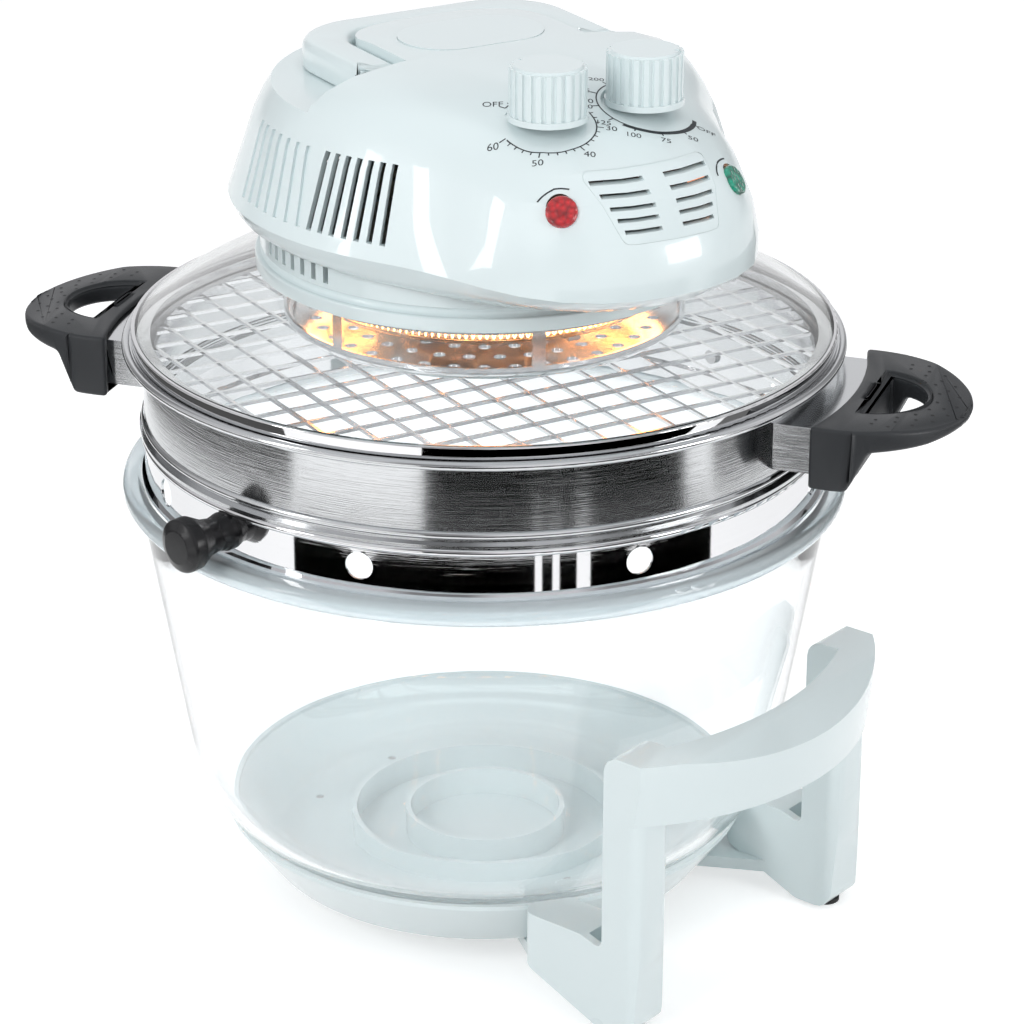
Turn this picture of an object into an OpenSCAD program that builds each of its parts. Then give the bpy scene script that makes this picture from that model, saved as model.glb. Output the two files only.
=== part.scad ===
/* Halogen oven: white head on a clear lid, steel pan ring, steel extension ring, glass bowl, white stand. */
/* Lengths are millimetres, +Z is up, the control panel faces -Y and the floor is z = 0. */

/* [Stand] */
// Height of the dish's underside above the floor
dish_foot_z = 16; // [12:0.5:20]
// Outer radius of the dish's underside
dish_foot_r = 104; // [98:0.5:108]
// Height of the dish's edge above its underside
dish_h = 29; // [24:0.5:32]
// Thickness of the dish's wall and floor
dish_wall = 2.6; // [2:0.1:3.4]
// Height of the ribs in the dish that carry the bowl
rib_h = 13.4; // [10:0.2:16]
// Turn of the carry frame from the front
stand_turn = 20.5; // [0:0.5:45]
// Distance of each post's middle from the frame's middle
post_offset = 77; // [72:0.5:80]
// Width of a post and of its arm
post_w = 24; // [18:0.5:26]
// Distance from the axis to a post's outer face
post_reach = 160; // [156:0.5:164]
// Depth of a post from its outer face inwards
post_depth = 20; // [16:0.5:22]
// Distance from the axis to the middle of the carry bar's outer face
bar_reach = 194; // [188:0.5:200]
// Distance from the axis to the carry bar's inner face
bar_inner_r = 170; // [168.5:0.5:173]
// Height of the carry bar's top edge above the floor
bar_top_z = 138.5; // [132:0.5:146]
// Height of the carry bar
bar_h = 30; // [22:0.5:34]
// Fall of the carry bar's top face towards its outer edge
bar_fall = 7; // [4:0.5:9]
// Radius of the ring on which the two rear feet stand
rear_foot_r = 88; // [80:0.5:92]
// Thickness of the rubber foot pads
pad_h = 2; // [1.5:0.1:3]
// Radius of the rubber foot pads
pad_r = 7; // [5:0.5:8]

/* [Bowl] */
// Height of the bowl from its base to the top of its rim
bowl_h = 179.5; // [170:0.5:190]
// Outer radius of the rolled rim
bowl_rim_r = 167.5; // [166:0.5:168.5]
// Thickness of the rolled rim
bowl_rim_t = 9; // [7:0.5:10]
// Thickness of the glass wall
bowl_wall = 4; // [3:0.5:5]
// Outer radius of the wall just under the rim
bowl_top_r = 160.5; // [159.5:0.5:162]
// Outer radius of the wall where it would meet the floor
bowl_low_r = 132; // [126:0.5:138]
// Outer radius of the rounded bottom corner
bowl_corner_r = 54; // [44:1:58]

/* [Extension ring] */
// Outer radius of the steel band
ring_r = 157; // [156.5:0.1:157.5]
// Height of the band above the bowl's rim
ring_h = 23.5; // [21:0.5:30]
// Depth of the band's locating edge inside the bowl
ring_skirt = 5.5; // [3:0.5:6]
// Number of round holes in the band
ring_holes = 8; // [4:1:12]
// Radius of the round holes
ring_hole_r = 6.3; // [4:0.1:7]
// Turn of the first hole from the front
ring_hole_turn = -5; // [-20:1:20]
// Turn of the two side knobs from the front
ring_knob_turn = -76; // [-80:1:-70]
// Radius of a side knob's outer disc
ring_knob_r = 12.2; // [9:0.2:12.8]
// Distance that a side knob stands out from the band
ring_knob_l = 28; // [22:0.5:30]

/* [Pan] */
// Outer radius of the pan's wall
pan_r = 156.5; // [156:0.1:157]
// Height of the pan from its lower bead to its rolled edge
pan_h = 43.4; // [40:0.2:60]
// Outer radius of the rolled edge
pan_roll_r = 165.5; // [164.5:0.1:167]
// Thickness of the rolled edge
pan_roll_t = 4; // [3:0.2:5]
// Depth of the pan's locating edge inside the band below
pan_skirt = 7; // [4:0.5:9]
// Thickness of the sheet steel in the pan and the band
sheet = 1.2; // [0.8:0.1:1.4]
// Turn of the two side handles from the front
pan_turn = 40.5; // [30:0.5:50]
// Distance of the handle's round end from the axis
grip_reach = 227; // [222:0.5:234]
// Radius of the handle's round end
grip_r = 52.5; // [49:0.5:56]
// Thickness of the handle at its tip
grip_tip_h = 8.5; // [8:0.5:12]
// Height of the handle's two feet
grip_foot_h = 29; // [24:0.5:31]
// Length of the finger hole
finger_l = 50; // [42:1:56]
// Width of the finger hole
finger_w = 22; // [18:0.5:24]
// Half of the width between the bracket's side plates
bracket_w = 45; // [40:0.5:46.5]
// Height of the bracket's side plates
bracket_h = 21.5; // [18:0.5:23]
// Thickness of the bracket's steel
bracket_t = 1.6; // [1.2:0.1:2.4]

/* [Wire rack] */
// Spacing of the net's wires
net_pitch = 16.8; // [16.6:0.2:24]
// Thickness of the net's wires
net_wire = 1.5; // [1.2:0.1:2.4]
// Thickness of the rack's rim wire
rack_rim_t = 4; // [3:0.2:5]

/* [Lid] */
// Outer radius of the lid's steel edge
lid_r = 161.2; // [160.6:0.1:161.4]
// Height of the lid's steel edge
lid_edge_h = 5.7; // [4.5:0.1:7]
// Thickness of the lid's glass
lid_glass = 4; // [3:0.5:5]
// Rise of the lid from its seat to the foot of the head
lid_rise = 35.5; // [30:0.5:40]
// Radius of the hole in the lid's glass
lid_hole_r = 90; // [88.5:0.5:91.5]

/* [Heater] */
// Radius of the guard's wall
guard_r = 91; // [88:0.5:92]
// Height of the guard's wall
guard_h = 6; // [5:0.5:12]
// Drop of the guard's bottom below the foot of the head
guard_drop = 28; // [27:0.5:30]
// Radius of a hole in the guard
guard_hole_r = 2.8; // [2:0.1:3]
// Radius of the lamp's ring
lamp_r = 76; // [70:0.5:78]
// Thickness of the lamp's tube
lamp_t = 10; // [8:0.5:12]
// Radius of the convection fan
hot_fan_r = 38; // [30:1:44]
// Radius of the cooling fan
cool_fan_r = 42; // [34:1:46]
// Radius of the motor's shaft
shaft_r = 3; // [2.5:0.1:4]

/* [Head] */
// Outer radius of the collar under the head
collar_r = 101.5; // [99:0.5:103]
// Height of the collar from its foot to the seam
collar_h = 22; // [20:0.5:26]
// Stand-out of the collar's foot band
foot_out = 2.3; // [1.5:0.1:3]
// Largest radius of the head's sides and back
head_r = 115.5; // [112:0.5:120]
// Height of the head above the seam
head_h = 79; // [76:1:84]
// Reach of the nose in front of the round part
nose_reach = 51; // [44:1:56]
// Angle over which the nose fades into the sides
nose_spread = 32; // [28:1:38]
// Fall of the seam at the nose
chin_drop = 12.6; // [10:0.2:12.8]
// Thickness of the head's plastic wall
head_wall = 2.5; // [2:0.1:3]
// Number of louvre slots in each of a side's two groups
louvres = 7; // [4:1:8]
// Width of a louvre slot
louvre_w = 2.8; // [1.6:0.1:3]
// Height of a louvre slot
louvre_h = 33; // [26:1:36]
// Number of slots in the collar on each side
collar_slots = 7; // [4:1:9]

/* [Controls] */
// Distance of each knob from the middle
knob_x = 24; // [22:0.5:27]
// Distance of the knobs in front of the axis
knob_y = 95; // [90:0.5:98]
// Radius of a knob's foot
knob_r = 17.2; // [14:0.2:18]
// Height of a knob
knob_h = 24; // [18:0.5:28]
// Number of grooves round a knob
knob_ribs = 24; // [12:1:30]
// Distance of each lens from the middle
lens_x = 44; // [40:0.5:46]
// Radius of a lens
lens_r = 6.9; // [5:0.1:8]

/* [Carry handle] */
// Half of the handle's outer width
bail_w = 66; // [62:0.5:70]
// Width of the handle's arms and bar
bail_t = 20; // [16:0.5:22]
// Distance of the bar's outer face behind the axis
bail_back = 74; // [70:0.5:78]
// Height of the handle above its ledge
bail_h = 13.4; // [13:0.5:15]
// Radius of the pins that it turns on
bail_pin_r = 3; // [2.5:0.1:3.5]

/* [Hidden] */
$fn = 96;

// Gap between parts that stand on each other and lift apart
seat = 0.3;
// Radial gap between a turning part and its bearing
run_fit = 0.06;
// Gap between pieces that are fastened together
joint_gap = 0.1;
// Length added to a cut so that it passes through
cut = 1;
// Radius of the small screws and of their heads
screw_r = 2;
screw_head_r = 3.6;

// Heights of the stack, each from the one below
dish_edge_z = dish_foot_z + dish_h;
bowl_z = dish_foot_z + dish_wall + rib_h + seat;
bowl_top = bowl_z + bowl_h;
ring_z = bowl_top + seat;
ring_top = ring_z + ring_h;
pan_z = ring_top + seat;
pan_top = pan_z + pan_h;
lid_z = pan_top - pan_roll_t / 2 + seat;
head_z = lid_z + lid_rise;
seam_z = head_z + collar_h;
head_top = seam_z + head_h;

// Corners of a path rounded to a radius, as a list of points
function unit2(v) = v / norm(v);
function corner(a, b, c, r) =
    let (p = unit2(a - b), q = unit2(c - b), half = acos(p * q) / 2, reach = r / tan(half))
    let (s = b + p * reach, e = b + q * reach, m = b + unit2(p + q) * (r / sin(half)))
    let (a0 = atan2(s[1] - m[1], s[0] - m[0]), a1 = atan2(e[1] - m[1], e[0] - m[0]))
    let (d = ((a1 - a0 + 540) % 360) - 180, n = r > 30 ? 14 : r > 8 ? 8 : 4)
    [for (i = [0:n]) m + r * [cos(a0 + d * i / n), sin(a0 + d * i / n)]];
function rounded(path, radii) =
    let (n = len(path))
    [for (i = [0:n - 1]) each radii[i] == 0 ? [path[i]]
        : corner(path[(i + n - 1) % n], path[i], path[(i + 1) % n], radii[i])];

// A flat plate with round corners
module plate2(x0, x1, y0, y1, r) {
    translate([x0 + r, y0]) square([x1 - x0 - 2 * r, y1 - y0]);
    translate([x0, y0 + r]) square([x1 - x0, y1 - y0 - 2 * r]);
    for (x = [x0 + r, x1 - r], y = [y0 + r, y1 - r]) translate([x, y]) circle(r = r, $fn = 32);
}
module washer(r0, r1, z0, z1) {
    rotate_extrude() translate([r0, z0]) square([r1 - r0, z1 - z0]);
}
// Things drawn out along X are turned so that X points to the given turn from the front
module faced(turn) {
    rotate([0, 0, turn - 90]) children();
}
// A screw standing on its head, with its tip up
module screw(head_z, length, r = screw_r, head_r = screw_head_r) {
    translate([0, 0, head_z - 1.8]) cylinder(r = head_r, h = 1.8, $fn = 32);
    translate([0, 0, head_z]) cylinder(r = r, h = length, $fn = 32);
}

// Stand

// The bowl's outside, grown all round by a distance
bowl_neck = bowl_top - bowl_rim_t;
function bowl_line(grow) = rounded([[0, bowl_z - grow], [bowl_low_r + grow, bowl_z - grow],
    [bowl_top_r + grow, bowl_neck]], [0, bowl_corner_r + grow, 0]);
corner_z = bowl_z + bowl_corner_r;
wall_lean = atan((bowl_top_r - bowl_low_r) / (bowl_neck - bowl_z));
corner_x = bowl_low_r - bowl_corner_r / tan(45 + wall_lean / 2);
dish_r = corner_x + sqrt(pow(bowl_corner_r, 2) - pow(corner_z - dish_edge_z, 2)) + seat + dish_wall;

module dish_outside(grow) {
    polygon(rounded([[0, dish_foot_z - grow], [dish_foot_r + grow, dish_foot_z - grow],
        [dish_r + grow, dish_edge_z - 2], [dish_r + grow, dish_edge_z + grow], [0, dish_edge_z + grow]],
        [0, 9, 1, 0, 0]));
}
module dish_inside() {
    t = dish_wall;
    polygon(rounded([[0, dish_foot_z + t], [dish_foot_r - t * 0.7, dish_foot_z + t],
        [dish_r - t, dish_edge_z - 2], [dish_r - t, dish_edge_z + cut], [0, dish_edge_z + cut]],
        [0, 7, 0, 0, 0]));
}
rib_t = 2.4;
module dish_profile() {
    difference() {
        dish_outside(0);
        difference() {
            dish_inside();
            for (r = [36, 62]) translate([r, dish_foot_z]) square([rib_t, dish_wall + rib_h]);
        }
        polygon(concat(bowl_line(seat), [[0, bowl_neck]]));
    }
}
// Screws that hold the two foot pieces under the dish
arm_root = dish_foot_r - 10;
arm_root_z = dish_foot_z + 4.5;
yoke_x = 60;
yoke_low_z = dish_foot_z - 6;
screw_row = 24;
rear_spread = 30;
module frame_screw_places() {
    for (s = [-1, 1]) faced(stand_turn) translate([yoke_x + 11, s * screw_row, 0]) children();
}
module rear_screw_places() {
    for (s = [-1, 1]) faced(stand_turn + 180 + s * (rear_spread - 12)) translate([rear_foot_r, 0, 0]) children();
}
module stand_dish() {
    color("white") difference() {
        rotate_extrude() dish_profile();
        frame_screw_places() cylinder(r = screw_r, h = dish_edge_z, $fn = 32);
        rear_screw_places() cylinder(r = screw_r, h = dish_edge_z, $fn = 32);
    }
}

arm_end_z = dish_foot_z + dish_h + 1;
arm_top_z = arm_end_z - 4;
post_in = post_reach - post_depth;
bar_low_z = bar_top_z - bar_h;
module frame_side() {
    polygon(rounded([[arm_root, arm_root_z], [post_in - 2, pad_h], [post_reach - 3, pad_h], [post_reach, 60],
        [post_reach, bar_top_z], [post_in, bar_top_z], [post_in, arm_top_z], [dish_r + 4, arm_end_z],
        [arm_root, arm_end_z]], [2, 10, 8, 0, 3, 8, 3, 0, 0]));
}
module frame_plan() {
    for (s = [-1, 1]) {
        translate([0, s * post_offset - post_w / 2]) plate2(arm_root, post_reach, 0, post_w, 7);
    }
}
// The two arms meet in a yoke under the dish
module yoke_plan() {
    for (s = [-1, 1]) {
        polygon([[yoke_x, 0], [yoke_x + 22, 0], [yoke_x + 22, s * 44], [dish_foot_r + 20, s * (post_offset - 10)],
            [dish_foot_r + 20, s * (post_offset + 2)], [arm_root + 2, s * (post_offset + 2)], [yoke_x, s * 54]]);
    }
}
// The carry bar bulges outwards on an arc through its middle and the posts' outer corners
bar_half = post_offset + post_w / 2;
bar_sag = bar_reach - post_reach;
bar_arc_r = (pow(bar_half, 2) + pow(bar_sag, 2)) / (2 * bar_sag);
bar_x = bar_reach - bar_arc_r;
module bar_plan() {
    intersection() {
        difference() {
            translate([bar_x, 0]) circle(r = bar_arc_r);
            circle(r = bar_inner_r);
        }
        plate2(post_in, bar_reach + 10, -bar_half, bar_half, 7);
    }
}
// The dish, the bowl and its rim stand clear inside the foot pieces
module stand_clearance() {
    rotate_extrude() {
        dish_outside(0);
        polygon(concat(bowl_line(seat), [[bowl_top_r + seat, bar_top_z + 20], [0, bar_top_z + 20]]));
    }
}
module carry_frame() {
    color("white") faced(stand_turn) difference() {
        union() {
            intersection() {
                translate([0, bar_half + 2, 0]) rotate([90, 0, 0]) linear_extrude(2 * bar_half + 4) frame_side();
                linear_extrude(bar_top_z + 2) frame_plan();
            }
            translate([0, 0, bar_low_z]) linear_extrude(bar_h) bar_plan();
            translate([0, 0, yoke_low_z]) linear_extrude(dish_foot_z - yoke_low_z) yoke_plan();
        }
        stand_clearance();
        // The top falls outwards beyond the posts, the outer face leans in a little
        translate([0, bar_half + 2, 0]) rotate([90, 0, 0]) linear_extrude(2 * bar_half + 4)
            polygon([[bar_reach - 22, bar_top_z], [bar_reach + 2, bar_top_z - bar_fall], [bar_reach + 2, bar_top_z + 4],
                [bar_reach - 22, bar_top_z + 4]]);
        translate([bar_x, 0, 0]) rotate_extrude() polygon([[bar_arc_r, bar_top_z - bar_fall], [bar_arc_r - 2.4, bar_low_z - cut],
            [bar_arc_r + 9, bar_low_z - cut], [bar_arc_r + 9, bar_top_z]]);
        for (s = [-1, 1]) {
            translate([yoke_x + 11, s * screw_row, 0]) {
                cylinder(r = screw_r, h = dish_edge_z, $fn = 32);
                cylinder(r = screw_head_r, h = yoke_low_z + 2.6, $fn = 32);
            }
            // Recess in each arm's top, next to the post
            translate([dish_r + 6, s * post_offset - post_w / 2 + 4, arm_top_z - 6])
                cube([post_in - dish_r - 6, post_w - 8, 40]);
        }
    }
}
// Two short feet under the far side of the dish, joined by a curved strap
module rear_feet() {
    color("white") difference() {
        union() {
            rotate([0, 0, stand_turn + 90 - rear_spread - 5]) rotate_extrude(angle = 2 * rear_spread + 10)
                translate([rear_foot_r - 9, yoke_low_z]) square([18, dish_foot_z - yoke_low_z]);
            for (s = [-1, 1]) faced(stand_turn + 180 + s * rear_spread) translate([rear_foot_r, 0, pad_h])
                cylinder(r = 10, h = dish_foot_z - pad_h, $fn = 48);
        }
        rear_screw_places() {
            cylinder(r = screw_r, h = dish_edge_z, $fn = 32);
            cylinder(r = screw_head_r, h = yoke_low_z + 2.6, $fn = 32);
        }
    }
}
module stand_screws() {
    color("silver") {
        frame_screw_places() screw(yoke_low_z + 2.6, dish_foot_z + dish_wall - yoke_low_z - 3);
        rear_screw_places() screw(yoke_low_z + 2.6, dish_foot_z + dish_wall - yoke_low_z - 3);
    }
}
module foot_pads() {
    color("dimgray") {
        for (s = [-1, 1]) faced(stand_turn) translate([(post_in + post_reach) / 2 - 3, s * post_offset, 0])
            cylinder(r = pad_r, h = pad_h, $fn = 48);
        for (s = [-1, 1]) faced(stand_turn + 180 + s * rear_spread) translate([rear_foot_r, 0, 0])
            cylinder(r = pad_r, h = pad_h, $fn = 48);
    }
}

// Bowl

module glass_bowl() {
    color("lightcyan", 0.4) rotate_extrude() difference() {
        union() {
            polygon(concat(bowl_line(0), [[0, bowl_neck]]));
            plate2(bowl_top_r - bowl_wall, bowl_rim_r, bowl_neck, bowl_top, bowl_rim_t * 0.42);
            translate([bowl_top_r - bowl_wall, bowl_neck - 2]) square([bowl_wall - 0.3, bowl_rim_t]);
        }
        polygon(concat(bowl_line(-bowl_wall), [[bowl_top_r - bowl_wall + 3, bowl_top + cut], [0, bowl_top + cut]]));
    }
}

// Extension ring

bead_r = 2;
ring_skirt_r = bowl_top_r - bowl_wall - 2;
knob_z = ring_z + ring_h / 2;
module extension_ring() {
    color("silver") difference() {
        rotate_extrude() {
            translate([ring_r - sheet, ring_z]) square([sheet, ring_h - bead_r]);
            translate([min(ring_skirt_r, ring_r) - sheet, ring_z]) square([abs(ring_r - ring_skirt_r) + sheet + 1.4, 1.6]);
            translate([ring_skirt_r - sheet, ring_z - ring_skirt]) square([sheet, ring_skirt + 0.8]);
            translate([ring_r - 0.7, ring_top - bead_r]) circle(r = bead_r, $fn = 24);
        }
        for (i = [0:ring_holes - 1]) {
            faced(ring_hole_turn + i * 360 / ring_holes) translate([ring_r - 12, 0, knob_z])
                rotate([0, 90, 0]) cylinder(r = ring_hole_r, h = 24, $fn = 48);
        }
        for (side = [0, 180]) {
            faced(ring_knob_turn + side) translate([ring_r - 12, 0, knob_z])
                rotate([0, 90, 0]) cylinder(r = screw_r, h = 24, $fn = 32);
        }
    }
}
module ring_knob(turn) {
    color("black") faced(turn) translate([ring_r, 0, knob_z]) rotate([0, 90, 0]) difference() {
        intersection() {
            rotate_extrude() polygon(rounded([[0, -2], [ring_knob_r * 0.72, -2], [ring_knob_r * 0.72, 2],
                [ring_knob_r * 0.62, 7], [ring_knob_r * 0.7, 13], [ring_knob_r, ring_knob_l - 8],
                [ring_knob_r, ring_knob_l - 2], [ring_knob_r * 0.62, ring_knob_l], [0, ring_knob_l]],
                [0, 0, 0.5, 4, 4, 1.5, 2, 2, 0]), $fn = 64);
        }
        // The foot fits the round band
        translate([-2 * ring_knob_r, 0, -ring_r]) rotate([0, 90, 0]) cylinder(r = ring_r, h = 4 * ring_knob_r, $fn = 180);
        translate([0, 0, -cut]) cylinder(r = screw_r, h = 14, $fn = 32);
    }
}
module ring_knob_left() { ring_knob(ring_knob_turn); }
module ring_knob_right() { ring_knob(ring_knob_turn + 180); }
module ring_knob_screws() {
    color("silver") for (side = [0, 180]) {
        faced(ring_knob_turn + side) translate([ring_r - sheet, 0, knob_z])
            rotate([0, 90, 0]) difference() {
                screw(0, 12);
                translate([-200, 0, -ring_r + sheet]) rotate([0, 90, 0]) difference() {
                    cylinder(r = ring_r + 1, h = 400, $fn = 180);
                    translate([0, 0, -cut]) cylinder(r = ring_r - sheet, h = 402, $fn = 180);
                    translate([-ring_r * 2 - 4, -screw_r, -cut]) cube([ring_r * 4, 2 * screw_r, 402]);
                }
            }
    }
}

// Ring with two handles

ring_wall_in = pan_r - sheet;
skirt_out_r = ring_r - bead_r - 1;
rack_ledge_z = pan_top - 12;
module handle_ring() {
    color("silver") rotate_extrude() {
        translate([ring_wall_in, pan_z]) square([sheet, pan_h - pan_roll_t / 2]);
        translate([skirt_out_r - sheet, pan_z - pan_skirt]) square([sheet, pan_skirt + 1.5]);
        translate([min(skirt_out_r, pan_r) - sheet, pan_z]) square([abs(pan_r - skirt_out_r) + sheet + 2.2, 1.5]);
        // A pressed bead above the foot
        translate([pan_r - 0.6, pan_z + 5.4]) circle(r = 2, $fn = 24);
        // The edge turns out flat, then rolls over
        translate([ring_wall_in, pan_top - pan_roll_t / 2 - sheet]) square([pan_roll_r - ring_wall_in - pan_roll_t / 2, sheet]);
        translate([pan_roll_r - pan_roll_t / 2, pan_top - pan_roll_t / 2 - 1.4]) circle(r = pan_roll_t / 2, $fn = 32);
        // Ledge for the wire rack
        translate([ring_wall_in - 3.2, rack_ledge_z - sheet]) square([3.6, sheet]);
    }
}

grip_top_z = pan_z + 34.5;
grip_skin = 3;
bracket_z = grip_top_z - grip_skin - bracket_h;
grip_root_r = pan_r + 18.5;
hole_x = grip_reach - 42;
bracket_end = hole_x - 3;
ear_end = hole_x + 8;
ear_in = finger_l / 2 + 3.5;
grip_screw_x = hole_x + 2;
grip_screw_y = ear_in + (bracket_w - ear_in) / 2;
module bracket_plan(grow) {
    difference() {
        translate([0, -bracket_w - bracket_t / 2 - grow])
            square([ear_end + grow, 2 * bracket_w + bracket_t + 2 * grow]);
        translate([bracket_end + grow, -ear_in + grow]) square([40, 2 * ear_in - 2 * grow]);
    }
}
module grip_bracket(turn) {
    color("silver") faced(turn) difference() {
        translate([0, 0, bracket_z]) linear_extrude(bracket_h) bracket_plan(0);
        translate([0, -bracket_w + bracket_t / 2, bracket_z - cut])
            cube([ear_end + cut, 2 * bracket_w - bracket_t, bracket_h - bracket_t + cut]);
        // The side plates end inside the grip's foot
        translate([bracket_end, -60, bracket_z - cut]) cube([40, 120, bracket_h - bracket_t + cut]);
        cylinder(r = pan_r, h = pan_top);
        for (s = [-1, 1]) translate([grip_screw_x, s * grip_screw_y, bracket_z]) cylinder(r = screw_r, h = bracket_h + cut, $fn = 32);
    }
}
module grip_bracket_right() { grip_bracket(pan_turn); }
module grip_bracket_left() { grip_bracket(pan_turn + 180); }

grip_x = grip_reach - grip_r;
module grip_plan() {
    difference() {
        union() {
            translate([grip_x, 0]) circle(r = grip_r);
            polygon([[grip_root_r - 8, -30], [grip_root_r + 2, 4 - grip_r], [grip_x + 12, 1 - grip_r],
                [grip_x + 12, grip_r - 1], [grip_root_r + 2, grip_r - 4], [grip_root_r - 8, 30]]);
        }
        circle(r = grip_root_r);
    }
}
module grip_side() {
    z = grip_top_z;
    low = z - grip_foot_h;
    polygon(rounded([[grip_root_r - 20, low], [bracket_end + 2, low],
        [bracket_end + 11, z - grip_tip_h - 2], [grip_reach - 12, z - grip_tip_h - 1],
        [grip_reach + 1, z - grip_tip_h + 1], [grip_reach + 1, z - 4], [grip_reach - 26, z - 0.5], [grip_root_r - 20, z]],
        [0, 3, 4, 12, 3, 2, 30, 0]));
}
module grip(turn) {
    color("black") faced(turn) difference() {
        intersection() {
            translate([0, 0, grip_top_z - grip_foot_h - cut]) linear_extrude(grip_foot_h + 2 * cut) grip_plan();
            translate([0, grip_half, 0]) rotate([90, 0, 0]) linear_extrude(2 * grip_half) grip_side();
        }
        // Finger hole with a step round it
        translate([hole_x, 0, grip_top_z - grip_foot_h]) linear_extrude(grip_foot_h + cut) finger_outline(0);
        translate([hole_x, 0, grip_top_z - 2.2]) linear_extrude(grip_foot_h) finger_outline(1.8);
        // Pocket that the bracket slides into
        translate([0, 0, grip_top_z - grip_foot_h - cut]) linear_extrude(grip_foot_h - grip_skin + cut) intersection() {
            bracket_plan(joint_gap);
            translate([0, -60]) square([bracket_end + joint_gap, 120]);
        }
        translate([0, 0, bracket_z + bracket_h - bracket_t - joint_gap]) linear_extrude(bracket_t + joint_gap) bracket_plan(joint_gap);
        for (s = [-1, 1]) translate([grip_screw_x, s * grip_screw_y, 0]) {
            cylinder(r = screw_r, h = grip_top_z - 0.8, $fn = 32);
            cylinder(r = screw_head_r + 0.4, h = bracket_z + bracket_h - bracket_t, $fn = 32);
        }
        // Slot in the root
        translate([bracket_end - 1.6, -9, grip_top_z - 1.2]) cube([2.2, 18, 2]);
    }
}
grip_half = grip_r + 4;
// A half-moon: straight towards the pan, round towards the tip
finger_r = (pow(finger_l / 2, 2) + pow(finger_w, 2)) / (2 * finger_w);
module finger_outline(grow) {
    intersection() {
        translate([finger_w - finger_r, 0]) circle(r = finger_r + grow);
        translate([-grow, -finger_l]) square([finger_l, 2 * finger_l]);
    }
}
module grip_right() { grip(pan_turn); }
module grip_left() { grip(pan_turn + 180); }
module grip_screws() {
    color("silver") for (side = [0, 180], s = [-1, 1]) {
        faced(pan_turn + side) translate([grip_screw_x, s * grip_screw_y, 0])
            screw(bracket_z + bracket_h - bracket_t, bracket_t + 2);
    }
}

// Wire rack

rack_r = ring_wall_in - 1.2;
module wire_rack() {
    lines = floor(rack_r / net_pitch);
    color("silver") difference() {
        union() {
            translate([0, 0, rack_ledge_z + rack_rim_t - net_wire]) linear_extrude(net_wire) {
                intersection() {
                    circle(r = rack_r - rack_rim_t / 2);
                    union() for (i = [-lines:lines]) {
                        translate([i * net_pitch - net_wire / 2, -rack_r]) square([net_wire, 2 * rack_r]);
                        translate([-rack_r, i * net_pitch - net_wire / 2]) square([2 * rack_r, net_wire]);
                    }
                }
            }
            washer(rack_r - rack_rim_t, rack_r, rack_ledge_z + seat, rack_ledge_z + rack_rim_t);
        }
    }
}

// Lid

// Dome of the lid: a sphere through its edge and the foot of the collar
cap_low_r = lid_r - 2;
cap_low_z = lid_z + 0.95 + lid_glass * 1.26;
cap_high_r = collar_r + foot_out;
cap_c = (pow(cap_high_r, 2) - pow(cap_low_r, 2) + pow(head_z, 2) - pow(cap_low_z, 2))
    / (2 * (head_z - cap_low_z));
cap_r = sqrt(pow(cap_low_r, 2) + pow(cap_low_z - cap_c, 2));
function cap_at(r, inward = 0) = cap_c + sqrt(pow(cap_r - inward, 2) - pow(r, 2));
module cap_2d(inward) {
    translate([0, cap_c]) circle(r = cap_r - inward, $fn = 240);
}
module glass_lid() {
    color("lightcyan", 0.4) rotate_extrude() intersection() {
        difference() {
            cap_2d(0);
            cap_2d(lid_glass);
        }
        translate([lid_hole_r, cap_low_z - 4]) square([cap_low_r - lid_hole_r, lid_rise + 20]);
    }
}
module lid_edge() {
    color("silver") rotate_extrude() difference() {
        plate2(cap_low_r - 8, lid_r, lid_z, lid_z + lid_edge_h, 0.7);
        translate([0, lid_z + 0.8]) square([cap_low_r + joint_gap, 40]);
    }
}

// Under the lid

clamp_out = lid_hole_r + 8;
floor_z = head_z + 6;
boss_r = 4;
boss_ring = lid_hole_r - boss_r - 1;
clamp_z = cap_at(lid_hole_r + 8, lid_glass) - 0.8;
screw_count = 6;
module clamp_ring() {
    color("silver") difference() {
        rotate_extrude() {
            translate([boss_ring - 6, clamp_z - 1.6]) square([clamp_out - boss_ring + 6, 1.6]);
            intersection() {
                translate([lid_hole_r + 1, clamp_z - 1]) square([clamp_out - lid_hole_r - 1, 12]);
                cap_2d(lid_glass + joint_gap);
            }
        }
        clamp_screw_places() cylinder(r = screw_r, h = 20, center = true, $fn = 32);
    }
}
module clamp_screw_places() {
    for (i = [0:screw_count - 1]) rotate([0, 0, i * 360 / screw_count]) translate([0, boss_ring, clamp_z - 1.6]) children();
}
module clamp_screws() {
    color("silver") clamp_screw_places() screw(0, 12);
}
reflector_z = clamp_z + 0.2;
module lead_holes() {
    for (s = [-1, 1]) rotate([0, 0, s * lamp_gap / 2]) translate([0, lamp_r, clamp_z - 4]) cylinder(r = 2.4, h = 20, $fn = 24);
}
module reflector() {
    color("silver") difference() {
        rotate_extrude() {
            translate([8, reflector_z]) square([boss_ring - 13.4, 0.8]);
            translate([hot_fan_r + 6, reflector_z]) square([0.8, 3.4]);
            translate([boss_ring - 7.3, reflector_z - 3]) square([0.8, 3.4]);
        }
        lead_holes();
    }
}
lamp_z = clamp_z - 3.5 - lamp_t / 2;
lamp_gap = 14;
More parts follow.
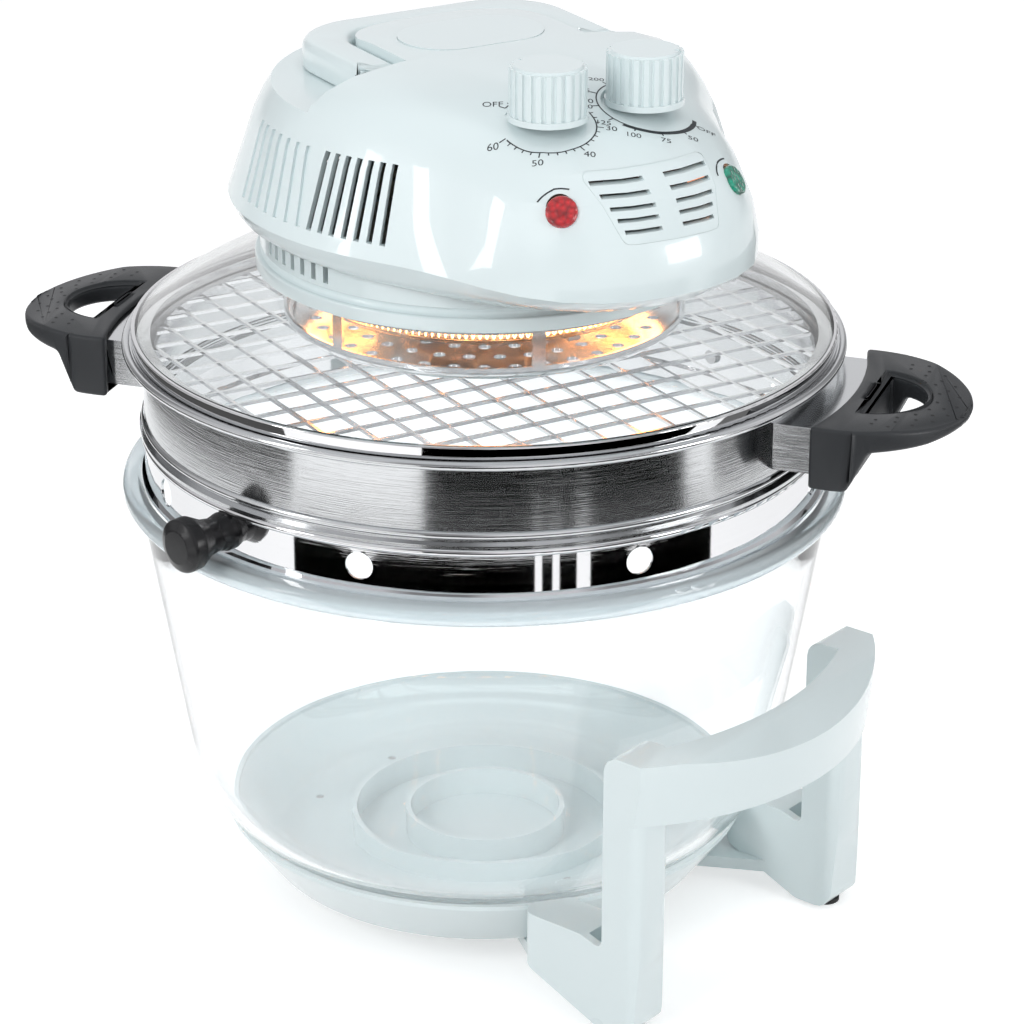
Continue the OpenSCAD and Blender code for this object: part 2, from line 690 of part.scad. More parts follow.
module halogen_lamp() {
    color("orange") {
        translate([0, 0, lamp_z]) rotate([0, 0, 90 + lamp_gap / 2]) rotate_extrude(angle = 360 - lamp_gap)
            translate([lamp_r, 0]) circle(r = lamp_t / 2, $fn = 32);
        // Pinched ends, each with its lead
        for (s = [-1, 1]) rotate([0, 0, s * lamp_gap / 2]) translate([0, lamp_r, lamp_z]) {
            rotate([0, 90, 0]) cylinder(r = lamp_t / 2 + 0.6, h = 7, center = true, $fn = 32);
            cylinder(r = 2, h = floor_z - lamp_z - 1, $fn = 24);
        }
    }
}
module lamp_clip_places() {
    for (i = [0:2]) rotate([0, 0, i * 120 + 60]) translate([0, lamp_r, 0]) children();
}
module lamp_clips() {
    hook = 1.2;
    seat_r = lamp_t / 2 + 0.1;
    // A hook under the tube, hanging from the reflector on its inner side
    color("silver") lamp_clip_places() translate([-3, 0, 0]) rotate([90, 0, 90]) linear_extrude(6) difference() {
        translate([-lamp_t / 2 - hook, lamp_z - lamp_t / 2 - hook])
            square([lamp_t / 2 + 3 * hook, reflector_z - lamp_z + lamp_t / 2 + hook]);
        translate([0, lamp_z]) circle(r = seat_r, $fn = 48);
        translate([-seat_r, lamp_z]) square([seat_r * 2, 20]);
    }
}
guard_z = head_z - guard_drop;
guard_t = 1.4;
module guard_posts() {
    for (i = [0:5]) rotate([0, 0, i * 60 + 45]) {
        translate([-3, guard_r - guard_t, guard_z + guard_h - 2]) cube([6, guard_t, clamp_z - 1.6 - guard_z - guard_h + 2]);
        translate([-5, boss_ring - 5, clamp_z - 2.8]) cube([10, guard_r - boss_ring + 5, 1.2]);
    }
}
module guard_grille() {
    rows = 6;
    color("gainsboro") {
        difference() {
            rotate_extrude() difference() {
                polygon(rounded([[0, guard_z], [guard_r, guard_z], [guard_r, guard_z + guard_h], [0, guard_z + guard_h]], [0, 4, 0, 0]));
                polygon(rounded([[0, guard_z + guard_t], [guard_r - guard_t, guard_z + guard_t],
                    [guard_r - guard_t, guard_z + guard_h + cut], [0, guard_z + guard_h + cut]], [0, 2.6, 0, 0]));
            }
            for (k = [1:rows], i = [0:6 * k - 1]) rotate([0, 0, i * 60 / k]) translate([0, k * (guard_r - 14) / rows, guard_z - cut])
                cylinder(r = guard_hole_r, h = guard_t + 2 * cut, $fn = 20);
        }
        guard_posts();
    }
}
hot_fan_z = lamp_z - 4;
hot_fan_h = 8;
module blades(count, r0, r1, h, lean) {
    for (i = [0:count - 1]) rotate([0, 0, i * 360 / count]) translate([0, r0, 0])
        rotate([0, lean, 0]) translate([-0.6, 0, 0]) cube([1.2, r1 - r0, h]);
}
module convection_fan() {
    color("silver") translate([0, 0, hot_fan_z]) difference() {
        union() {
            cylinder(r = hot_fan_r, h = 1.2);
            translate([0, 0, 0.6]) blades(10, 14, hot_fan_r - 1, hot_fan_h, 0);
            cylinder(r = 7, h = hot_fan_h, $fn = 32);
        }
        translate([0, 0, -cut]) cylinder(r = shaft_r, h = hot_fan_h + 2 * cut, $fn = 48);
    }
}

// Motor

plate_z = floor_z + 3;
motor_z = plate_z + 24;
stack_h = 16;
felt_r = 0.73 * boss_ring;
module insulation_pad() {
    color("lightyellow") difference() {
        translate([0, 0, plate_z]) cylinder(r = felt_r, h = 4);
        translate([0, 0, plate_z - cut]) cylinder(r = shaft_r + 4, h = 6, $fn = 48);
        motor_feet() translate([0, 0, -cut]) cylinder(r = 4.2, h = 30, $fn = 32);
    }
}
module motor_feet() {
    for (x = [-1, 1], y = [-1, 1]) translate([x * 24, y * 22, plate_z]) children();
}
module motor_bracket() {
    color("silver") {
        difference() {
            translate([-30, -30, motor_z - 1.6]) cube([60, 60, 1.6]);
            translate([0, 0, motor_z - 3]) cylinder(r = shaft_r + 4, h = 6, $fn = 48);
            // Room for the coil
            translate([-13, 15.6, motor_z - 3]) cube([26, 30, 6]);
        }
        motor_feet() cylinder(r = 4, h = motor_z - plate_z - 1.6, $fn = 32);
        // Lower bearing
        difference() {
            translate([0, 0, motor_z - 7]) cylinder(r = 9, h = 5.4, $fn = 48);
            translate([0, 0, motor_z - 8]) cylinder(r = shaft_r + run_fit, h = 8, $fn = 48);
        }
    }
}
rotor_r = 14;
module motor_stator() {
    color("slategray") difference() {
        union() {
            translate([-26, -28, motor_z]) cube([52, 56, stack_h]);
            // Upper bearing bridge
            translate([-26, -6, motor_z + stack_h]) cube([52, 12, 5]);
        }
        translate([0, 0, motor_z - cut]) cylinder(r = rotor_r + 0.5, h = stack_h + cut + 1.5, $fn = 64);
        translate([0, 0, motor_z]) cylinder(r = shaft_r + run_fit, h = 60, $fn = 48);
        translate([-14, 16, motor_z - cut]) cube([28, 6, stack_h + 2 * cut]);
    }
}
module motor_coil() {
    color("peru") difference() {
        translate([-12, 12.5 + 3.6, motor_z - 1.2]) cube([24, 17, stack_h + 4]);
        translate([-26, 22, motor_z]) cube([52, 6.001, stack_h]);
        translate([-26, -28, motor_z]) cube([52, 44, stack_h + 5]);
    }
}
cool_fan_z = motor_z + stack_h + 8;
shaft_top = cool_fan_z + 9;
module motor_shaft() {
    color("silver") {
        translate([0, 0, hot_fan_z]) cylinder(r = shaft_r, h = shaft_top - hot_fan_z, $fn = 48);
        difference() {
            translate([0, 0, motor_z + 1]) cylinder(r = rotor_r, h = stack_h - 1, $fn = 64);
            translate([0, 0, motor_z]) cylinder(r = shaft_r, h = stack_h + 2, $fn = 48);
        }
    }
}
module cooling_fan() {
    color("black") translate([0, 0, cool_fan_z]) difference() {
        union() {
            cylinder(r = 9, h = 8, $fn = 48);
            blades(7, 8, cool_fan_r, 7, 24);
        }
        translate([0, 0, -cut]) cylinder(r = shaft_r, h = 12, $fn = 48);
        translate([0, 0, -20]) cylinder(r = 60, h = 20);
    }
}

// Head

collar_wall = 3;
module head_collar() {
    color("white") difference() {
        union() {
            rotate_extrude() difference() {
                union() {
                    translate([lid_hole_r - 3, clamp_z]) square([collar_r - lid_hole_r + 3, seam_z - joint_gap - clamp_z]);
                    translate([0, floor_z]) square([lid_hole_r, plate_z - floor_z]);
                    plate2(collar_r - 4, collar_r + foot_out, head_z - 4, head_z + 6.4, 1);
                }
                intersection() {
                    cap_2d(-joint_gap);
                    translate([lid_hole_r - joint_gap, 0]) square([40, head_z + 20]);
                }
                translate([lid_hole_r - 6, plate_z]) square([collar_r - collar_wall - lid_hole_r + 6, 40]);
                // Groove above the foot band
                translate([collar_r + 0.6, head_z + 8.4]) circle(r = 2, $fn = 32);
            }
            clamp_screw_places() translate([0, 0, 1.6]) cylinder(r = boss_r, h = plate_z - clamp_z - 0.5, $fn = 32);
            // Posts that the housing stands on
            head_post_places() translate([0, 0, floor_z]) cylinder(r = 5, h = seam_z - joint_gap - floor_z, $fn = 32);
        }
        clamp_screw_places() translate([0, 0, 1]) cylinder(r = screw_r, h = 11.4, $fn = 32);
        for (s = [-1, 1], i = [0:collar_slots - 1]) {
            rotate([0, 0, s * (86 + (i - (collar_slots - 1) / 2) * 4.4)])
                translate([-1.5, -collar_r - 8, seam_z - 9.6]) cube([3, 14, 9.6 + cut]);
        }
        translate([0, 0, floor_z - cut]) cylinder(r = shaft_r + 5, h = 10, $fn = 48);
        lead_holes();
        head_post_places() translate([0, 0, floor_z - cut]) {
            cylinder(r = screw_r, h = 40, $fn = 32);
            cylinder(r = screw_head_r + 0.2, h = 3 + cut, $fn = 32);
        }
        translate([0, collar_r - 6, cord_z]) rotate([-90, 0, 0]) cylinder(r = gland_r, h = 14, $fn = 32);
    }
}
module head_post_places() {
    for (i = [0:3]) rotate([0, 0, 45 + i * 90]) translate([0, head_post_r, 0]) children();
}
head_post_r = 86;
cord_z = seam_z - 6.2;
gland_r = 4;
module cord_gland() {
    color("dimgray") difference() {
        union() {
            translate([0, collar_r - 7, cord_z]) rotate([-90, 0, 0]) cylinder(r = gland_r, h = 13, $fn = 32);
        }
        translate([0, collar_r - 9, cord_z]) rotate([-90, 0, 0]) cylinder(r = 2.6, h = 18, $fn = 32);
    }
}

// The head's skin is lofted through stations, all as fractions: height, round radius, nose, chin
STATIONS = [[0, 0.892, 0.058, 1], [0.019, 0.926, 0.175, 0.937], [0.051, 0.957, 0.35, 0.794],
    [0.095, 0.98, 0.7, 0.595], [0.152, 0.998, 0.903, 0.317], [0.241, 0.977, 0.971, 0.079],
    [0.405, 0.939, 1, 0], [0.595, 0.896, 0.913, 0], [0.722, 0.853, 0.757, 0], [0.823, 0.805, 0.388, 0],
    [0.886, 0.745, 0.175, 0], [0.949, 0.623, 0.058, 0], [0.987, 0.433, 0, 0], [1, 0.17, 0, 0]];
loft_n = 60;
function turn_of(t) = t > 180 ? 360 - t : t;
function nose_at(t) = exp(-pow(turn_of(t) / nose_spread, 3));
function chin_at(t) = exp(-pow(turn_of(t) / 45, 2));
function loft_point(k, t, inset) =
    let (s = STATIONS[k])
    let (r = s[1] * head_r + s[2] * nose_reach * nose_at(t) - inset)
    [r * sin(t), -r * cos(t), seam_z + s[0] * head_h - s[3] * chin_drop * chin_at(t)
        - (inset > 0 ? (k == 0 ? 3 : inset * s[0]) : 0)];
module loft(inset) {
    rows = len(STATIONS);
    ring = [for (k = [0:rows - 1], i = [0:loft_n - 1]) loft_point(k, i * 360 / loft_n, inset)];
    ends = [[0, 0, seam_z - (inset > 0 ? 3 : 0)], [0, 0, seam_z + head_h - inset]];
    low = rows * loft_n;
    polyhedron(concat(ring, ends), concat(
        [for (k = [0:rows - 2], i = [0:loft_n - 1]) let (j = (i + 1) % loft_n, a = k * loft_n, b = a + loft_n) each
            [[a + i, b + i, b + j], [a + i, b + j, a + j]]],
        [for (i = [0:loft_n - 1]) let (j = (i + 1) % loft_n, b = (rows - 1) * loft_n) each
            [[low, i, j], [low + 1, b + j, b + i]]]));
}
bail_z = seam_z + 0.785 * head_h;
bail_top = bail_z + bail_h;
pivot_y = -4;
pivot_z = bail_z + bail_h / 2;
bail_front = pivot_y - bail_h / 2 + seat;
bay_gap = 0.6;
// Room that the bar's inner face needs as it swings up
bar_swing = 2;
// Plan of the space between the handle's arms, up to the bar
module bail_island(grow, swing = 0) {
    back = bail_back - bail_t - grow - swing;
    polygon(rounded([[bail_t + grow - bail_w, bail_front - 30], [bail_w - bail_t - grow, bail_front - 30],
        [bail_w - bail_t - grow, back], [bail_t + grow - bail_w, back]], [0, 0, 20, 20]));
}
// The handle's bay is open outward, so the outer side of both arms shows
module bail_bay(grow) {
    difference() {
        translate([-2 * head_r, bail_front - grow]) square([4 * head_r, 2 * head_r]);
        bail_island(grow, bar_swing);
    }
}
module bail_plan(grow) {
    difference() {
        polygon(rounded([[-bail_w - grow, bail_front - grow], [bail_w + grow, bail_front - grow],
            [bail_w + grow, bail_back + grow], [-bail_w - grow, bail_back + grow]], [5, 5, 34, 34]));
        bail_island(grow);
    }
}
module head_bosses() {
    for (s = [-1, 1]) {
        translate([s * knob_x, -knob_y, knob_seat - 8]) cylinder(r = knob_r + 1.6, h = 8, $fn = 64);
        translate([s * knob_x, -knob_y, knob_seat - 12]) cylinder(r = 7, h = 10, $fn = 32);
    }
    head_post_places() {
        translate([0, 0, seam_z]) cylinder(r = 5, h = 26, $fn = 32);
        translate([-1.2, 0, seam_z]) cube([2.4, 40, 26]);
    }
    translate([0, 0, bail_z - head_wall]) linear_extrude(40) bail_bay(head_wall + bay_gap);
}
knob_seat = seam_z + 0.892 * head_h;
window_top = seam_z + 0.73 * head_h;
window_low = seam_z + 0.41 * head_h;
module window_plate(gap) {
    polygon(rounded([[-31 - gap, window_top + gap], [-23 - gap, window_low - gap], [23 + gap, window_low - gap],
        [31 + gap, window_top + gap]], [3, 3, 3, 3]));
}
module grille_window(gap) {
    translate([0, -60, 0]) rotate([90, 0, 0]) linear_extrude(140) window_plate(gap);
}
// One group of louvres is cut through, the other only into the skin
louvre_z = seam_z + 0.435 * head_h;
module louvre_group(from, to, lean) {
    for (s = [-1, 1], i = [0:louvres - 1]) {
        rotate([0, 0, s * (from + i * (to - from) / (louvres - 1))]) translate([0, -head_r - 8, louvre_z])
            rotate([0, s * lean, 0]) translate([-louvre_w / 2, 0, -louvre_h / 2]) cube([louvre_w, 40, louvre_h]);
    }
}
module head_housing() {
    color("white") difference() {
        loft(0);
        difference() {
            loft(head_wall);
            head_bosses();
        }
        translate([0, 0, bail_z]) linear_extrude(40) bail_bay(bay_gap);
        head_post_places() translate([0, 0, seam_z - cut]) cylinder(r = screw_r, h = floor_z + 28 - seam_z, $fn = 32);
        grille_window(joint_gap);
        louvre_group(52, 71.5, -3);
        difference() {
            louvre_group(76.5, 101, 8);
            loft(head_wall / 2);
        }
        for (s = [-1, 1]) {
            lens_place(s) translate([0, 0, -20]) cylinder(r = lens_r - 1, h = 30, $fn = 48);
            translate([s * knob_x, -knob_y, knob_seat]) cylinder(r = knob_r + 1.6, h = 30, $fn = 64);
            translate([s * knob_x, -knob_y, knob_seat - 30]) cylinder(r = shaft_r + 0.4, h = 40, $fn = 48);
            translate([s * (bail_w - bail_t - 7), pivot_y, pivot_z]) rotate([0, s * 90, 0]) cylinder(r = bail_pin_r, h = bail_t + 12, $fn = 48);
        }
        translate([-switch_x, switch_y, bail_z - 20]) cylinder(r = 2.3, h = 30, $fn = 32);
        translate([0, 12, head_top - 2.2]) linear_extrude(8) plate2(-34 - joint_gap, 34 + joint_gap, -22 - joint_gap, 22 + joint_gap, 21);
    }
}
module top_plate() {
    color("gainsboro") translate([0, 12, head_top - 2.2]) linear_extrude(2.4) plate2(-34, 34, -22, 22, 21);
}
module front_grille() {
    rows = 5;
    color("white") difference() {
        intersection() {
            difference() {
                loft(0);
                loft(head_wall);
            }
            grille_window(0);
        }
        // Rows of slots on both sides of a blank middle strip
        for (s = [-1, 1], i = [0:rows - 1]) {
            z = window_top - 4.4 - i * (window_top - window_low - 8) / (rows - 1);
            translate([s > 0 ? 5 : -28.5 + i * 1.7, -knob_y - 80, z]) cube([23.5 - i * 1.7, 80, 1.6]);
        }
    }
}
lens_z = seam_z + 0.588 * head_h;
lens_y = 138.5;
lens_turn = 30;
lens_dome = 3.2;
lens_rim = 1;
dome_r = (pow(lens_r, 2) + pow(lens_dome - lens_rim, 2)) / (2 * (lens_dome - lens_rim));
module lens_place(s) {
    translate([s * lens_x, -lens_y, lens_z]) rotate([0, 0, s * lens_turn]) rotate([90 - 14, 0, 0]) children();
}
module lens() {
    translate([0, 0, -7]) cylinder(r = lens_r - 1, h = 8, $fn = 48);
    // Low dome standing on a short rim
    translate([0, 0, 0.6]) rotate_extrude($fn = 48) intersection() {
        translate([0, lens_dome - dome_r]) circle(r = dome_r, $fn = 96);
        square([lens_r, lens_dome]);
    }
}
module power_lens() {
    color("red") lens_place(-1) lens();
}
module heat_lens() {
    color("green") lens_place(1) lens();
}
module lens_lamps() {
    color("orange") for (s = [-1, 1]) lens_place(s) translate([0, 0, -23]) cylinder(r = 3.4, h = 15.9, $fn = 32);
}
unit_top = knob_seat - 12;
module timer_unit() {
    color("gray") difference() {
        translate([-knob_x - 17, -knob_y - 17, unit_top - 26]) cube([34, 34, 26]);
        control_bore(-1);
    }
}
module thermostat_unit() {
    color("gray") difference() {
        translate([knob_x, -knob_y, unit_top - 18]) cylinder(r = 16, h = 18);
        control_bore(1);
    }
}
module control_bore(s) {
    translate([s * knob_x, -knob_y, unit_top - 12]) cylinder(r = shaft_r + run_fit, h = 40, $fn = 48);
}
shaft_up = knob_seat + knob_h * 0.6;
module control_shaft(s) {
    translate([s * knob_x, -knob_y, unit_top - 11.7]) cylinder(r = shaft_r, h = shaft_up - unit_top + 11.7, $fn = 48);
}
module timer_shaft() {
    color("silver") control_shaft(-1);
}
module thermostat_shaft() {
    color("silver") control_shaft(1);
}
rib_depth = 1.1;
timer_off_turn = 210;
heat_off_turn = 48;
module knob(s) {
    h = knob_h - seat;
    grip = knob_r - 0.6;
    translate([s * knob_x, -knob_y, knob_seat + seat]) difference() {
        union() {
            cylinder(r = knob_r, h = 2.6, $fn = 72);
            linear_extrude(h - 1) difference() {
                circle(r = grip, $fn = 72);
                for (i = [0:knob_ribs - 1]) rotate([0, 0, (i + 0.5) * 360 / knob_ribs]) translate([grip, 0])
                    circle(r = rib_depth, $fn = 24);
            }
            // Smooth top with a bevelled edge
            rotate_extrude($fn = 72) polygon([[0, 2], [grip - 1.4, 2], [grip - 1.4, h - 0.8], [grip - 2.2, h], [0, h]]);
        }
        translate([0, 0, -cut]) cylinder(r = shaft_r, h = shaft_up - knob_seat - seat + cut, $fn = 48);
        // Hollow underneath round the hub
        rotate_extrude($fn = 64) translate([shaft_r + 2.4, -cut]) square([knob_r - 4 - shaft_r - 2.4, 9]);
        // Pointer notch, which stands at the dial's off mark
        rotate([0, 0, s < 0 ? timer_off_turn : heat_off_turn]) translate([-0.8, -knob_r, h - 1.2]) cube([1.6, 4.4, 2]);
    }
}
module timer_knob() {
    color("white") knob(-1);
}
module thermostat_knob() {
    color("white") knob(1);
}

// Carry handle

module bail_end(grow) {
    translate([0, pivot_y, pivot_z]) rotate([0, 90, 0]) cylinder(r = bail_h / 2 - seat + grow, h = 200, center = true, $fn = 64);
}
module carry_handle() {
    color("white") difference() {
        intersection() {
            translate([0, 0, bail_z + seat]) linear_extrude(bail_h - seat) bail_plan(0);
            union() {
                bail_end(0);
                translate([-100, pivot_y, bail_z]) cube([200, 200, bail_h + 1]);
            }
        }
        translate([0, pivot_y, pivot_z]) rotate([0, 90, 0]) cylinder(r = bail_pin_r + run_fit, h = 200, center = true, $fn = 48);
        // Finger hollow under the bar
        translate([-36, bail_back - bail_t + 4, bail_z - cut]) cube([72, bail_t, 6]);
    }
}
module handle_pins() {
    color("silver") for (s = [-1, 1]) translate([s * (bail_w - bail_t - 7), pivot_y, pivot_z]) rotate([0, s * 90, 0])
        cylinder(r = bail_pin_r, h = bail_t + 9, $fn = 48);
}
switch_x = bail_w - bail_t / 2;
// The plunger stands behind the pivot, where the arm lifts off it
switch_y = pivot_y + 14;
module switch_plunger() {
    color("red") translate([-switch_x, switch_y, bail_z - 14]) cylinder(r = 2, h = 14, $fn = 32);
}
module safety_switch() {
    color("black") difference() {
        translate([-switch_x - 5, switch_y - 10, bail_z - head_wall - 22]) cube([10, 20, 22]);
        translate([-switch_x, switch_y, bail_z - 17]) cylinder(r = 2 + run_fit, h = 30, $fn = 32);
    }
}
module terminal_block() {
    color("ivory") difference() {
        translate([-14, 66, plate_z]) cube([28, 12, 14]);
        for (i = [-1:1]) translate([i * 8, 60, plate_z + 9]) rotate([-90, 0, 0]) cylinder(r = 2, h = 30, $fn = 24);
    }
}
module head_screws() {
    color("silver") head_post_places() translate([0, 0, floor_z + 3]) screw(0, 24);
}

stand_dish();
carry_frame();
rear_feet();
stand_screws();
foot_pads();
glass_bowl();
extension_ring();
ring_knob_left();
ring_knob_right();
ring_knob_screws();
handle_ring();
grip_bracket_right();
grip_bracket_left();
grip_right();
grip_left();
grip_screws();
wire_rack();
glass_lid();
lid_edge();
clamp_ring();
clamp_screws();
reflector();
halogen_lamp();
lamp_clips();
guard_grille();
convection_fan();
insulation_pad();
motor_bracket();
motor_stator();
motor_coil();
motor_shaft();
cooling_fan();
head_collar();
head_housing();
top_plate();
front_grille();
power_lens();
heat_lens();
lens_lamps();
timer_unit();
timer_shaft();
timer_knob();
thermostat_unit();
thermostat_shaft();
thermostat_knob();
carry_handle();
handle_pins();
safety_switch();
switch_plunger();
terminal_block();
cord_gland();
head_screws();
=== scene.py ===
# %% [markdown]
# A halogen oven, dressed around its measured frame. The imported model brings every
# rigid piece at its real size and place. Most of them keep their shape here and only
# get a finish, while the pieces that the eye meets first are modelled again with the
# soft edges, dimples, print and filament that the plain solids leave out.

# %% Load the frame
import math
import bmesh
import bpy
from mathutils import Matrix, Vector


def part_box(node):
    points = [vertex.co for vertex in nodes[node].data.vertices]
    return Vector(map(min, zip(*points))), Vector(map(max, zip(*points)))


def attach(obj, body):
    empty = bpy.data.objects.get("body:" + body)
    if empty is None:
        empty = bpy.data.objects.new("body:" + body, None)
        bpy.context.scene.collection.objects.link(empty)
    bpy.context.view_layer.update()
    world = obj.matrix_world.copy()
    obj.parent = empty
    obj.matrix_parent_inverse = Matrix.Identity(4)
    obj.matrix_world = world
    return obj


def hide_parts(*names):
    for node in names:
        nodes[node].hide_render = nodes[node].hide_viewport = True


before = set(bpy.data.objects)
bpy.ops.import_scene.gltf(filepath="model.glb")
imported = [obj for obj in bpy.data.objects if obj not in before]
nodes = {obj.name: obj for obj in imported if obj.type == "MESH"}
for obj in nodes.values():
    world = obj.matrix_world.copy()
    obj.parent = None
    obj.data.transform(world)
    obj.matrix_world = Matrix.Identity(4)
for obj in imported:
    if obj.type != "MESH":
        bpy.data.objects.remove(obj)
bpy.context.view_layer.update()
MM = 0.001

# %% [markdown]
# The camera looks down at the oven from about a metre and a half, as the photograph
# does, with a long lens. Its place was found by laying the model's outline over the
# photograph, so it is written as a distance, a height and two small angles. The oven
# itself stands turned by thirty degrees to the camera.

# %% Camera
CAMERA_DISTANCE = 1.589
CAMERA_HEIGHT = 0.8581
CAMERA_PITCH = 0.400
CAMERA_YAW = 0.008
CAMERA_ROLL = -0.002
OVEN_TURN = math.radians(30)
SENSOR = 36.0
FOCAL_PIXELS = 3692.0
FRAME_PIXELS = 1024


def place_camera():
    cos_y, sin_y = math.cos(CAMERA_YAW), math.sin(CAMERA_YAW)
    cos_p, sin_p = math.cos(CAMERA_PITCH), math.sin(CAMERA_PITCH)
    forward = Vector((sin_y * cos_p, cos_y * cos_p, -sin_p))
    right = Vector((cos_y, -sin_y, 0))
    upward = right.cross(forward)
    roll = Matrix.Rotation(CAMERA_ROLL, 3, forward)
    right, upward = roll @ right, roll @ upward
    pose = Matrix((right, upward, -forward)).transposed().to_4x4()
    pose.translation = Vector((0, -CAMERA_DISTANCE, CAMERA_HEIGHT))
    bpy.ops.object.camera_add()
    camera = bpy.context.object
    camera.matrix_world = Matrix.Rotation(-OVEN_TURN, 4, "Z") @ pose
    camera.data.sensor_width = SENSOR
    camera.data.lens = FOCAL_PIXELS / FRAME_PIXELS * SENSOR
    bpy.context.scene.camera = camera
    return camera


camera = place_camera()
print("camera lens", round(camera.data.lens, 1), "mm")

# %% [markdown]
# A product shot like this one is lit by large soft boxes against white paper. Polished
# steel only looks like steel when it has something dark to mirror, so the world shows
# a studio to mirror rays: bright boxes with dark gaps between them, white below. To
# the camera, and through glass, it is plain white.

# %% World
WORLD_FILL = 0.56
WHITE = (1, 1, 1, 1)
# Each mark is a turn about the oven, as a share of a full circle, and a brightness
STUDIO_MARKS = [(0.00, 0.85), (0.07, 0.85), (0.10, 0.35), (0.15, 0.30), (0.18, 0.95),
                (0.25, 1.0), (0.28, 0.45), (0.34, 0.30), (0.37, 0.28), (0.41, 0.75),
                (0.49, 0.9), (0.53, 0.35), (0.60, 0.30), (0.63, 0.8), (0.72, 0.9),
                (0.76, 0.35), (0.82, 0.28), (0.86, 0.7), (1.0, 0.85)]
BOXES_TOP = 0.55
CEILING_FROM = 0.8
CEILING_GREY = (0.72, 0.74, 0.76, 1)
GROUND_FROM = -0.12
SKY_TINT = (0.96, 0.98, 1.0, 1)


def light_world():
    world = bpy.data.worlds.new("studio")
    bpy.context.scene.world = world
    world.use_nodes = True
    tree = world.node_tree
    tree.nodes.clear()
    make, join = tree.nodes.new, tree.links.new
    coords = make("ShaderNodeTexCoord")
    parts = make("ShaderNodeSeparateXYZ")
    join(coords.outputs["Generated"], parts.inputs[0])
    turn = make("ShaderNodeMath")
    turn.operation = "ARCTAN2"
    join(parts.outputs["Y"], turn.inputs[0])
    join(parts.outputs["X"], turn.inputs[1])
    share = make("ShaderNodeMapRange")
    share.inputs["From Min"].default_value = -math.pi
    share.inputs["From Max"].default_value = math.pi
    join(turn.outputs[0], share.inputs["Value"])
    ramp = make("ShaderNodeValToRGB")
    stops = ramp.color_ramp.elements
    while len(stops) < len(STUDIO_MARKS):
        stops.new(0.5)
    for stop, (place, bright) in zip(stops, STUDIO_MARKS):
        stop.position = place
        stop.color = (bright, bright, bright * 1.02, 1)
    join(share.outputs[0], ramp.inputs[0])
    # Above the boxes the ceiling is a soft grey, and below the horizon all is white
    ceiling = make("ShaderNodeMapRange")
    ceiling.inputs["From Min"].default_value = BOXES_TOP
    ceiling.inputs["From Max"].default_value = CEILING_FROM
    join(parts.outputs["Z"], ceiling.inputs["Value"])
    overhead = make("ShaderNodeMix")
    overhead.data_type = "RGBA"
    join(ceiling.outputs[0], overhead.inputs["Factor"])
    join(ramp.outputs[0], overhead.inputs["A"])
    overhead.inputs["B"].default_value = CEILING_GREY
    below = make("ShaderNodeMapRange")
    below.inputs["From Min"].default_value = 0.0
    below.inputs["From Max"].default_value = GROUND_FROM
    join(parts.outputs["Z"], below.inputs["Value"])
    mirror = make("ShaderNodeMix")
    mirror.data_type = "RGBA"
    join(below.outputs[0], mirror.inputs["Factor"])
    join(overhead.outputs["Result"], mirror.inputs["A"])
    mirror.inputs["B"].default_value = WHITE
    path = make("ShaderNodeLightPath")
    fill = make("ShaderNodeBackground")
    fill.inputs["Color"].default_value = SKY_TINT
    fill.inputs["Strength"].default_value = WORLD_FILL
    seen = make("ShaderNodeBackground")
    seen.inputs["Color"].default_value = WHITE
    mirrored = make("ShaderNodeBackground")
    join(mirror.outputs["Result"], mirrored.inputs["Color"])
    glossy = make("ShaderNodeMixShader")
    join(path.outputs["Is Glossy Ray"], glossy.inputs[0])
    join(fill.outputs[0], glossy.inputs[1])
    join(mirrored.outputs[0], glossy.inputs[2])
    direct = make("ShaderNodeMath")
    direct.operation = "MAXIMUM"
    join(path.outputs["Is Camera Ray"], direct.inputs[0])
    join(path.outputs["Is Transmission Ray"], direct.inputs[1])
    final = make("ShaderNodeMixShader")
    join(direct.outputs[0], final.inputs[0])
    join(glossy.outputs[0], final.inputs[1])
    join(seen.outputs[0], final.inputs[2])
    out = make("ShaderNodeOutputWorld")
    join(final.outputs[0], out.inputs[0])
    return world


light_world()
bpy.context.scene.view_settings.view_transform = "Standard"
print("world lit, fill", WORLD_FILL)

# %% [markdown]
# Three soft boxes stand round the oven: a key from the front left, a fill from the
# front right and a broad one overhead. They are area lamps, whose size sets how soft
# the shadow edge is. Each is aimed at the middle of the oven.

# %% Lamps
MIDDLE = Vector((0, 0, 0.22))


def soft_box(name, place, width, height, watts, colour=(1, 1, 1)):
    bpy.ops.object.light_add(type="AREA", location=place)
    lamp = bpy.context.object
    lamp.name = name
    lamp.data.shape = "RECTANGLE"
    lamp.data.size = width
    lamp.data.size_y = height
    lamp.data.energy = watts
    lamp.data.color = colour
    # The cards and panels further down are what the gloss shows, not the lamps
    lamp.visible_glossy = False
    lamp.rotation_euler = (MIDDLE - Vector(place)).to_track_quat("-Z", "Y").to_euler()
    return lamp


turned = Matrix.Rotation(-OVEN_TURN, 3, "Z")
soft_box("key_box", turned @ Vector((-0.95, -1.15, 1.05)), 0.55, 0.8, 9.6)
soft_box("fill_box", turned @ Vector((1.25, -1.0, 0.75)), 0.35, 0.7, 6.2)
soft_box("top_box", turned @ Vector((0.1, 0.25, 1.7)), 1.2, 1.2, 4.6)
print("lamps placed")

# %% [markdown]
# The floor is one large sheet of pale paper, so wide that its far edge lies outside the
# picture, where the white world takes over. Its own faint glow to the camera keeps it
# close to white and leaves the shadow in place.

# %% Floor
FLOOR_SIZE = 9.0
FLOOR_GLOW = 0.50


def only(thing):
    bpy.ops.object.select_all(action="DESELECT")
    thing.select_set(True)
    bpy.context.view_layer.objects.active = thing


